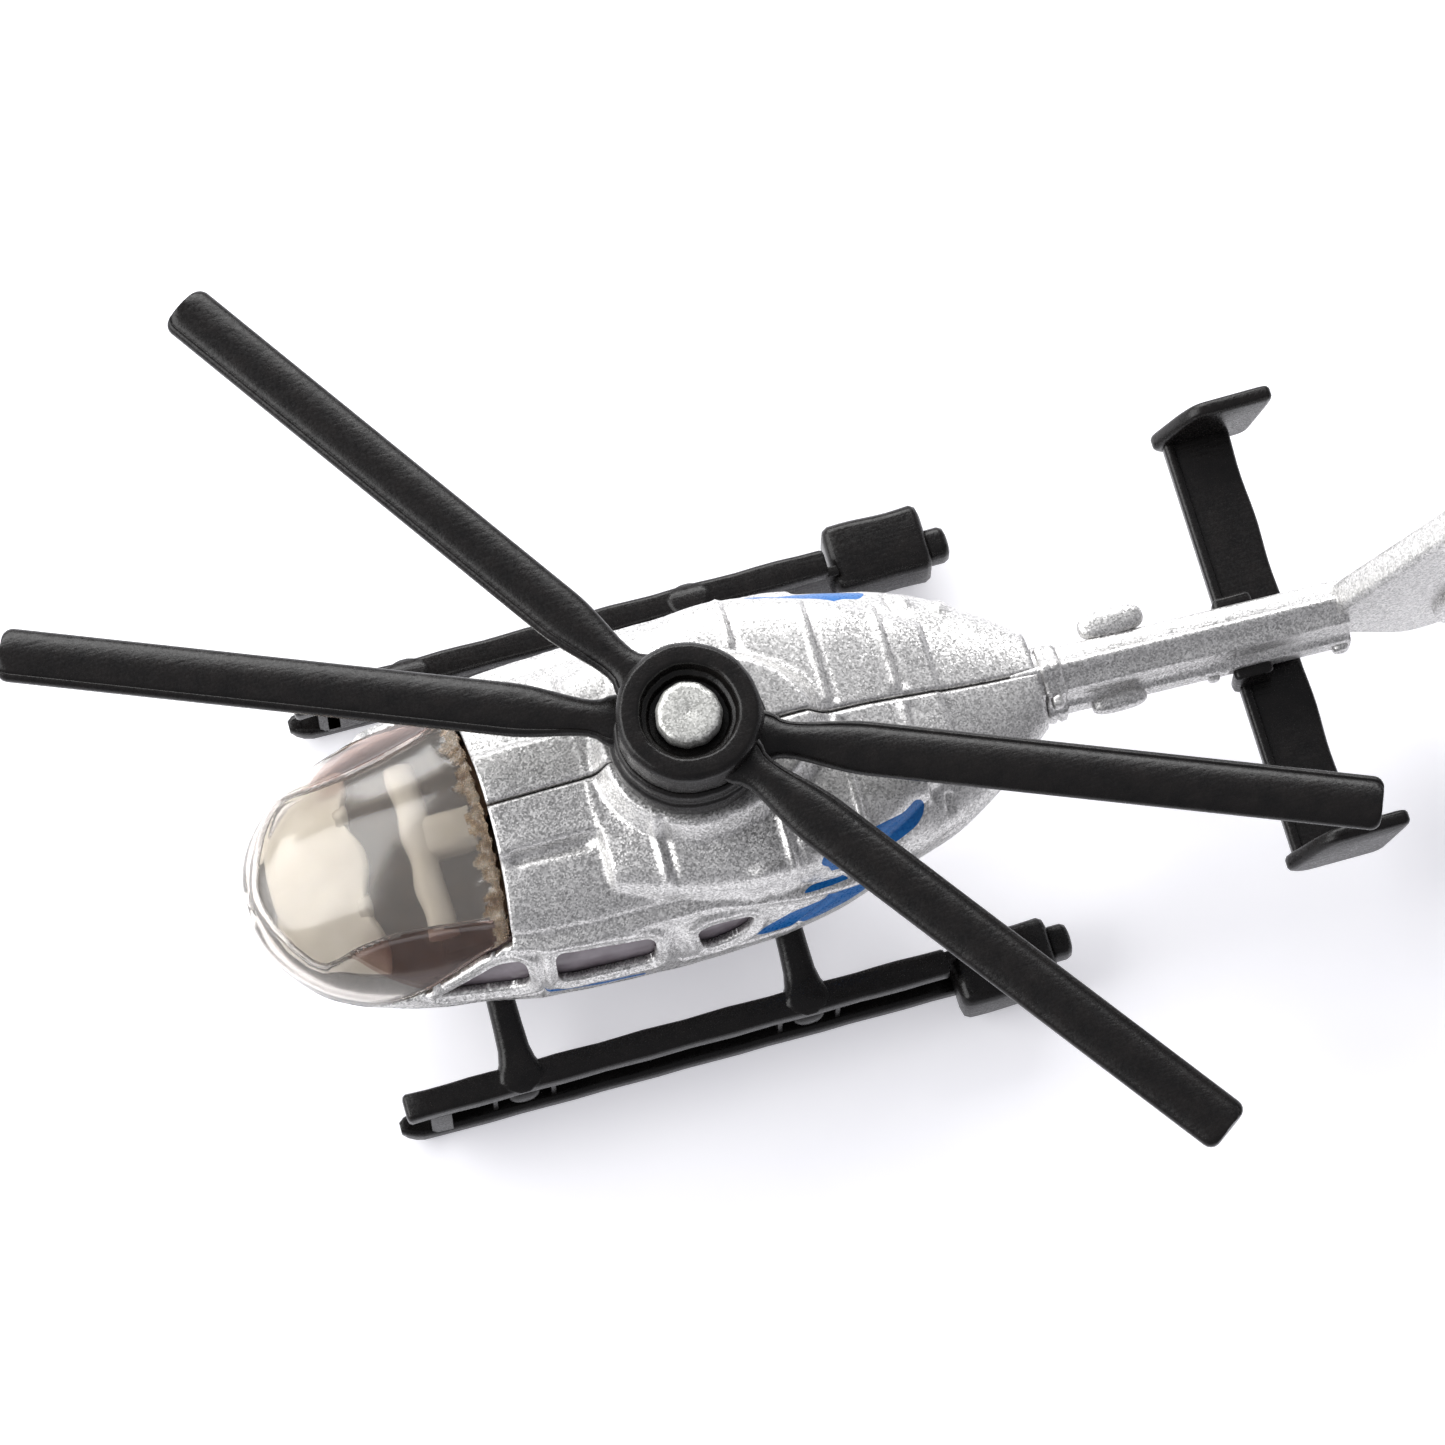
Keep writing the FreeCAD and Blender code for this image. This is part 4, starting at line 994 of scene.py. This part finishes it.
VANES, VANE_REACH = 8, (0.8, 2.55)
VANE_SECTION = [(-0.32, 0.55), (-0.22, 0.62), (0.22, 1.12), (0.32, 1.05)]


def fan_vanes():
    """Twisted vanes in the shroud's wells, on both sides."""
    points, faces = [], []
    count = len(VANE_SECTION)
    for side in (1, -1):
        for angle in np.linspace(0.0, math.tau, VANES, endpoint=False):
            first = len(points)
            for radius in VANE_REACH:
                for across, out in VANE_SECTION:
                    x = radius * math.cos(angle) - across * math.sin(angle)
                    z = radius * math.sin(angle) + across * math.cos(angle)
                    points.append((SHROUD[0] + x, side * out, SHROUD[1] + z))
            faces += [tuple(first + k for k in face) for face in grid_faces(2, count, closed=True)]
            faces.append(tuple(range(first, first + count)))
            faces.append(tuple(reversed(range(first + count, first + 2 * count))))
    item = add_mesh("fan_vanes", points, faces, [silver], smooth=False)
    clean(item)
    return item


for tail_piece in (tail_fin(), tail_shroud(), fan_vanes()):
    attach(tail_piece, "airframe", "silver_paint", "body_starboard")


# ------------------------------------------------------------------ rotors and mast
BLADE_THICKNESS, BLADE_HALF, ROOT_HALF, BLADE_TAPER = 0.9, 1.525, 0.95, 5.5
TIP_CORNER, TIP_THINNED = 0.6, 0.75
ROOT_FLARE, ROOT_FLARE_RUN = 0.55, 0.45
# Blade section: share of the half width, then share of the thickness.
BLADE_SECTION = [
    (-1.0, 0.16), (-1.0, 0.42), (-0.96, 0.54), (-0.88, 0.66), (-0.74, 0.78), (-0.5, 0.90), (-0.22, 0.98),
    (0.0, 1.0), (0.25, 0.97), (0.48, 0.90), (0.64, 0.82), (0.72, 0.74), (0.76, 0.68), (0.80, 0.72),
    (0.88, 0.68), (0.96, 0.54), (1.0, 0.42), (1.0, 0.16), (0.9, 0.0), (0.0, 0.0), (-0.9, 0.0),
]


def blade_places(ring, reach):
    """Where a blade's sections stand, from inside its ring to the rounded corners of its tip."""
    places = [ring - 0.8, ring - 0.3, ring + 0.1]
    places += list(spaced(ring + 0.5, ring + BLADE_TAPER, 0.5))
    places += list(spaced(ring + BLADE_TAPER, reach - TIP_CORNER - 0.1, 1.2))[1:]
    for turned in (0, 20, 40, 58, 74, 90):
        places.append(reach - TIP_CORNER * (1 - math.sin(math.radians(turned))))
    return places


def blade(name, angle, reach, ring, bottom):
    """One blade: a slim root that widens to a flat, round-topped blade with rounded tip corners."""
    cosine, sine = math.cos(math.radians(angle)), math.sin(math.radians(angle))
    sections = []
    for place in blade_places(ring, reach):
        wide = ROOT_HALF + (BLADE_HALF - ROOT_HALF) * float(fade(place, ring + 0.2, ring + BLADE_TAPER))
        flare = ROOT_FLARE * math.exp(-max(place - ring, 0.0) / ROOT_FLARE_RUN)
        past = max(0.0, place - (reach - TIP_CORNER))
        half = wide + flare - TIP_CORNER + math.sqrt(max(TIP_CORNER**2 - past**2, 0.0))
        thinned = TIP_THINNED if place == reach else 1.0
        section = []
        for share, level in BLADE_SECTION:
            across = share * half
            height = bottom + BLADE_THICKNESS * (0.5 + (level - 0.5) * thinned)
            section.append((place * cosine - across * sine, place * sine + across * cosine, height))
        sections.append(section)
    return loft(name, sections, [rotor_black], 55)


LOWER_RING = [
    (BORE_RADIUS, 18.75), (4.1, 18.75), (4.45, 19.05), (4.45, 20.2), (4.22, 20.4), (4.22, 21.1), (4.05, 21.3),
    (BORE_RADIUS, 21.3),
]
UPPER_RING = [
    (BORE_RADIUS, 21.4), (3.85, 21.4), (4.0, 21.6), (4.0, 23.7), (3.72, 24.0), (2.85, 24.0), (2.7, 23.85),
    (2.62, 23.1), (2.3, 23.0), (2.25, 22.5), (BORE_RADIUS, 22.5),
]


def flash(angle):
    """The slightly uneven rim that moulding leaves."""
    return 0.02 * math.sin(3 * angle + 0.4) + 0.015 * math.sin(7 * angle) + 0.01 * math.sin(19 * angle)


def make_rotor(which, ring_profile, ring_radius, reach, bottom, angles):
    node = f"{which}_rotor"
    hub = revolve(f"{which}_hub", rounded_profile(ring_profile, 0.1, 2), [rotor_black], flash)
    keep_edges_sharp(hub, 60)
    attach(hub, node, "rotor_plastic", node)
    for number, angle in enumerate(angles):
        item = blade(f"{which}_blade_{number + 1}", angle, reach, ring_radius, bottom)
        attach(item, node, "rotor_plastic", node)


make_rotor("lower", LOWER_RING, ring_radius=4.45, reach=38.13, bottom=20.4, angles=(-22.3, 157.7))
make_rotor("upper", UPPER_RING, ring_radius=4.0, reach=37.13, bottom=22.05, angles=(-56.3, 125.7))


def hammered(angle):
    """The uneven edge of a head that was pressed over."""
    return 0.03 * math.sin(3 * angle) + 0.02 * math.sin(11 * angle)


MAST_PROFILE = [
    (0.0, 13.25), (2.35, 13.25), (2.35, 14.15), (1.25, 14.15), (1.25, 22.65), (1.8, 22.65), (1.85, 23.3),
    (1.72, 23.62), (1.5, 23.72), (0.0, 23.75),
]


def mast_piece():
    """The flanged pin and its pressed head, over the upper rotor's counterbore."""
    item = revolve("mast_pin", rounded_profile(MAST_PROFILE, 0.08, 2), [metal], hammered)
    clean(item, merge=True)
    keep_edges_sharp(item, 60)
    return item


attach(mast_piece(), "airframe", "mast_metal", "rotor_mast")


# ------------------------------------------------------------------ skids and tailplane
def rounded_ring(half_a, half_b, radius):
    """A rectangle with round corners about its own middle."""
    radius = min(radius, half_a * 0.98, half_b * 0.98)
    ring = []
    for quarter, (a, b) in enumerate(((1, 1), (-1, 1), (-1, -1), (1, -1))):
        for step in range(5):
            turn = math.pi / 2 * (quarter + step / 4)
            from_a = a * (half_a - radius) + radius * math.cos(turn)
            from_b = b * (half_b - radius) + radius * math.sin(turn)
            ring.append((from_a, from_b))
    return ring


def bar(name, stations, radius, axis="x", material=skid_black):
    """A bar with rounded edges, through sections of (place, low, high, low, high) in the other two axes."""
    sections = []
    for place, a0, a1, b0, b1 in stations:
        section = []
        for a, b in rounded_ring((a1 - a0) / 2, (b1 - b0) / 2, radius):
            other, height = (a0 + a1) / 2 + a, (b0 + b1) / 2 + b
            section.append((place, other, height) if axis == "x" else (other, place, height))
        sections.append(section)
    return loft(name, sections, [material], 50)


def drawn_in(place, a0, a1, b0, b1, inset):
    """A bar's section with each side moved inward."""
    return (place, a0 + inset, a1 - inset, b0 + inset, b1 - inset)


def soft_ends(start, end, a0, a1, b0, b1, inset=0.25, steps=10, swell=0.0):
    """Sections of a straight bar whose two ends are drawn in, and which may swell a little on its way."""
    way = math.copysign(1.0, end - start)
    slight = 0.3 * inset
    stations = [drawn_in(start, a0, a1, b0, b1, inset)]
    stations.append(drawn_in(start + way * slight, a0, a1, b0, b1, slight))
    for place in np.linspace(start + way * inset, end - way * inset, steps):
        grow = swell * math.sin(1.3 * place)
        stations.append((float(place), a0 - grow, a1 + grow, b0, b1 + grow))
    stations.append(drawn_in(end - way * slight, a0, a1, b0, b1, slight))
    stations.append(drawn_in(end, a0, a1, b0, b1, inset))
    return stations


def across(sign, stations):
    """The same sections on either side of the body."""
    return [(place, *sorted((sign * a0, sign * a1)), b0, b1) for place, a0, a1, b0, b1 in stations]


SKID_IN, SKID_OUT, WEB_OUT = 11.65, 13.15, 12.25
BOSSES = (13.3, -3.4)
# Strut middle line: distance out, height, then half length along the body and half thickness.
STRUT = [
    (6.2, 6.45, 0.78, 0.62), (7.8, 6.1, 0.8, 0.66), (9.4, 5.6, 0.84, 0.70), (10.6, 5.1, 0.9, 0.72),
    (11.3, 4.95, 1.05, 0.74), (11.8, 4.95, 1.3, 0.74), (12.3, 4.95, 1.45, 0.70), (12.8, 4.9, 1.2, 0.62),
    (13.05, 4.85, 0.6, 0.4),
]


def strut(name, place, sign):
    """A strut that widens into a foot step on the rail."""
    sections = []
    for out, height, along, thick in STRUT:
        ring = rounded_ring(along, thick, 0.5)
        sections.append([(place + a, sign * (out + 0.25 * b / thick), height + b) for a, b in ring])
    return loft(name, sections, [skid_black], 60)


# A boss: distance out from the web, and radius there.
BOSS = [(-0.3, 0.98), (0.35, 0.95), (0.6, 0.85), (0.75, 0.6), (0.8, 0.2)]
BOSS_LEVEL, BOSS_STEPS = 2.75, 28


def boss(name, place, sign):
    """A round button in the skid's channel."""
    sections = []
    for out, radius in BOSS:
        section = []
        for angle in np.linspace(0.0, math.tau, BOSS_STEPS, endpoint=False):
            x, z = place + radius * math.cos(angle), BOSS_LEVEL + radius * math.sin(angle)
            section.append((x, sign * (WEB_OUT + out), z))
        sections.append(section)
    return loft(name, sections, [skid_black], 60)


# The turned-up tip of a ski: place, how far its sides are drawn in, and its lower and upper levels.
SKI_TIP = [
    (19.3, 0.0, 0.12, 1.42), (19.8, 0.06, 0.36, 1.7), (20.2, 0.2, 0.65, 1.85), (20.5, 0.42, 0.95, 1.75),
]


def ski_sections():
    """The ski, flat on the ground and turned up at its tip."""
    sections = soft_ends(-12.4, 18.8, SKID_IN, SKID_OUT, 0.0, 1.2, 0.2, 20, 0.02)[:-2]
    sections = [(place, a0, a1, max(b0, 0.0), b1) for place, a0, a1, b0, b1 in sections]
    for place, inset, low, high in SKI_TIP:
        sections.append((place, SKID_IN + inset, SKID_OUT - inset, low, high))
    return sections


def make_skid(side, sign):
    node = f"skid_{side}"
    front = [(17.6, 0.0, 1.0), (17.8, 0.0, 1.0), (18.5, 0.0, 1.1), (18.8, 0.1, 1.3)]
    bars = {
        "ski": (ski_sections(), 0.35),
        "rail": (soft_ends(-11.6, 20.1, SKID_IN - 0.05, SKID_OUT + 0.05, 4.3, 5.5, 0.22, 26, 0.025), 0.3),
        "web": (soft_ends(-12.2, 18.4, SKID_IN, WEB_OUT, 0.8, 4.7, 0.1), 0.1),
        "front_wall": ([(x, SKID_IN + inset, SKID_OUT - inset, low, 4.5) for x, inset, low in front], 0.2),
        "block": (soft_ends(-11.9, -17.7, 10.9, 14.9, 0.9, 4.2, 0.45, 8, 0.04), 0.55),
        "pip": (soft_ends(-17.4, -18.9, 11.45, 13.35, 1.8, 3.7, 0.4, 4), 0.5),
    }
    pieces = []
    for part, (sections, radius) in bars.items():
        pieces.append(bar(f"{node}_{part}", across(sign, sections), radius))
    for number, place in enumerate(BOSSES, 1):
        pieces.append(strut(f"{node}_strut_{number}", place, sign))
        pieces.append(boss(f"{node}_boss_{number}", place, sign))
        for end, x in (("rear", place - 1.7), ("front", place + 1.7)):
            stay = soft_ends(x - 0.16, x + 0.16, WEB_OUT - 0.2, WEB_OUT + 0.55, 1.1, 4.4, 0.06, 2)
            pieces.append(bar(f"{node}_stay_{number}_{end}", across(sign, stay), 0.1))
    for piece in pieces:
        attach(piece, "airframe", "black_plastic", node)


for skid_side, skid_sign in (("port", 1), ("starboard", -1)):
    make_skid(skid_side, skid_sign)


def cabin_roll():
    """The pale roll across the cabin."""
    places = spaced(-4.6, 5.2, 0.35)
    sections = [(y, 14.7 + 0.06 * math.sin(y), 16.35 - 0.1 * math.sin(2 * y), 11.4, 13.2) for y in places]
    return bar("cabin_roll", sections, 0.7, "y", cream)


def cabin_spine():
    """The pale spine that runs back from the roll to the bulkhead."""
    sections = [(x, -1.5, 0.9, 11.2, 13.1 + 0.1 * math.sin(x)) for x in spaced(12.4, 15.6, 0.4)]
    return bar("cabin_spine", sections, 0.6, "x", cream)


for frame_part in (cabin_roll(), cabin_spine()):
    attach(frame_part, "airframe", "cabin_plastic")

ENDPLATE = [
    (-31.9, 7.45), (-30.95, 8.6), (-32.6, 11.2), (-33.6, 12.25), (-38.1, 12.25), (-37.9, 11.2), (-36.7, 7.45),
]
ENDPLATE_LAYERS = [(0.35, 12.62), (0.1, 12.7), (0.0, 12.85), (0.0, 13.3), (0.1, 13.45), (0.35, 13.52)]


def endplate(name, sign):
    """A swept plate with thick rounded edges that leans outward a little."""
    return plate(name, rounded_profile(ENDPLATE, 0.6, 4), ENDPLATE_LAYERS, skid_black, sign, 0.02)


def tailplane():
    """The flat bar under the boom."""
    stations = []
    for place in spaced(-12.75, 12.75, 0.75):
        sag = 0.05 * math.sin(1.1 * place)
        stations.append((place, -35.55 + sag, -31.9 + 0.5 * sag, 7.98, 8.85))
    return bar("tailplane_bar", stations, 0.3, axis="y")


def tail_lip():
    """A rounded lip along the tailplane's leading edge."""
    stations = [(place, -32.3, -31.65, 8.0, 9.12) for place in spaced(-12.6, 12.6, 1.4)]
    return bar("tailplane_lip", stations, 0.3, axis="y")


STABILIZER_PIECES = [
    tailplane(), tail_lip(), endplate("endplate_port", 1), endplate("endplate_starboard", -1),
]
for cheek_side, cheek_sign in (("port", 1), ("starboard", -1)):
    cheek = soft_ends(-33.6, -31.3, 1.7, 2.5, 8.1, 10.6, 0.3, 4)
    STABILIZER_PIECES.append(bar(f"boom_cheek_{cheek_side}", across(cheek_sign, cheek), 0.18))
for piece in STABILIZER_PIECES:
    attach(piece, "airframe", "black_plastic", "stabilizer")


# ------------------------------------------------------------------ carried-over CAD nodes
def dress(node, material, edge=0.12):
    """A CAD node as packed, with softened edges and its own material."""
    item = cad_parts[node]
    item.data.materials.clear()
    item.data.materials.append(material)
    merged = item.modifiers.new("merged", "WELD")
    merged.merge_threshold = 0.002 * MM
    bevel(item, edge)
    smooth = item.modifiers.new("shading", "WEIGHTED_NORMAL")
    smooth.keep_sharp = False
    return item


dress("belly_plate", skid_black)
dress("assembly_rivets", metal, 0.1)
dress("cabin_interior", cabin, 0.15)


# ------------------------------------------------------------------ floor, light and camera
def pale_floor():
    """A wide sheet of pale paper just under the skids, with a weak glow that softens the shadows."""
    shader = Shader("floor_paper")
    shader.finish(
        Base_Color=shader.ramp(shader.noise(4.0), (0.3, (0.86, 0.86, 0.88)), (0.8, (0.89, 0.89, 0.90))),
        Roughness=0.9,
        Emission_Color=(0.95, 0.94, 1.0, 1.0),
        Emission_Strength=0.38,
    )
    reach, level = 900.0, -0.02
    corners = [(a * reach, b * reach, level) for a, b in ((-1, -1), (1, -1), (1, 1), (-1, 1))]
    add_mesh("floor", corners, [(0, 1, 2, 3)], [shader.material])


def lamp(name, place, target, width, depth, power):
    """A soft rectangular lamp that faces a target, in metres and watts."""
    data = bpy.data.lights.new(name, "AREA")
    data.shape = "RECTANGLE"
    data.size = width
    data.size_y = depth
    data.energy = power
    item = bpy.data.objects.new(name, data)
    item.location = place
    item.rotation_euler = (Vector(target) - Vector(place)).to_track_quat("-Z", "Y").to_euler()
    bpy.context.scene.collection.objects.link(item)


def set_light():
    world = bpy.data.worlds.new("studio")
    bpy.context.scene.world = world
    world.use_nodes = True
    background = world.node_tree.nodes["Background"]
    background.inputs["Color"].default_value = (0.94, 0.94, 1.0, 1)
    background.inputs["Strength"].default_value = 0.34
    bpy.context.scene.view_settings.view_transform = "Standard"
    lamp("starboard_key", (-0.02, -0.42, 0.28), (0.0, 0.0, 0.01), 0.60, 0.24, 2.9)
    lamp("nose_fill", (0.36, -0.10, 0.26), (0.01, 0.0, 0.01), 0.44, 0.34, 2.1)


def set_camera():
    """Looks steeply down from the port side and a little ahead, with the hub left of centre."""
    azimuth, elevation, distance = math.radians(15.8), math.radians(72.0), 0.400
    lens, sensor = 183.36, 36.0
    hub_left, hub_above = 1.848, 0.679
    level = Vector((-math.sin(azimuth), -math.cos(azimuth), 0.0))
    ahead = level * math.cos(elevation) + Vector((0.0, 0.0, -math.sin(elevation)))
    right = Vector((-math.cos(azimuth), math.sin(azimuth), 0.0))
    above = right.cross(ahead)
    hub = Vector((MAST_X, 0.0, HUB_TOP * MM))
    aim = hub + right * hub_left * MM - above * hub_above * MM
    data = bpy.data.cameras.new("camera")
    data.lens = lens
    data.sensor_width = sensor
    data.clip_start = 0.01
    item = bpy.data.objects.new("camera", data)
    item.location = aim - ahead * distance
    item.rotation_euler = ahead.to_track_quat("-Z", "Y").to_euler()
    bpy.context.scene.collection.objects.link(item)
    bpy.context.scene.camera = item


pale_floor()
set_light()
set_camera()
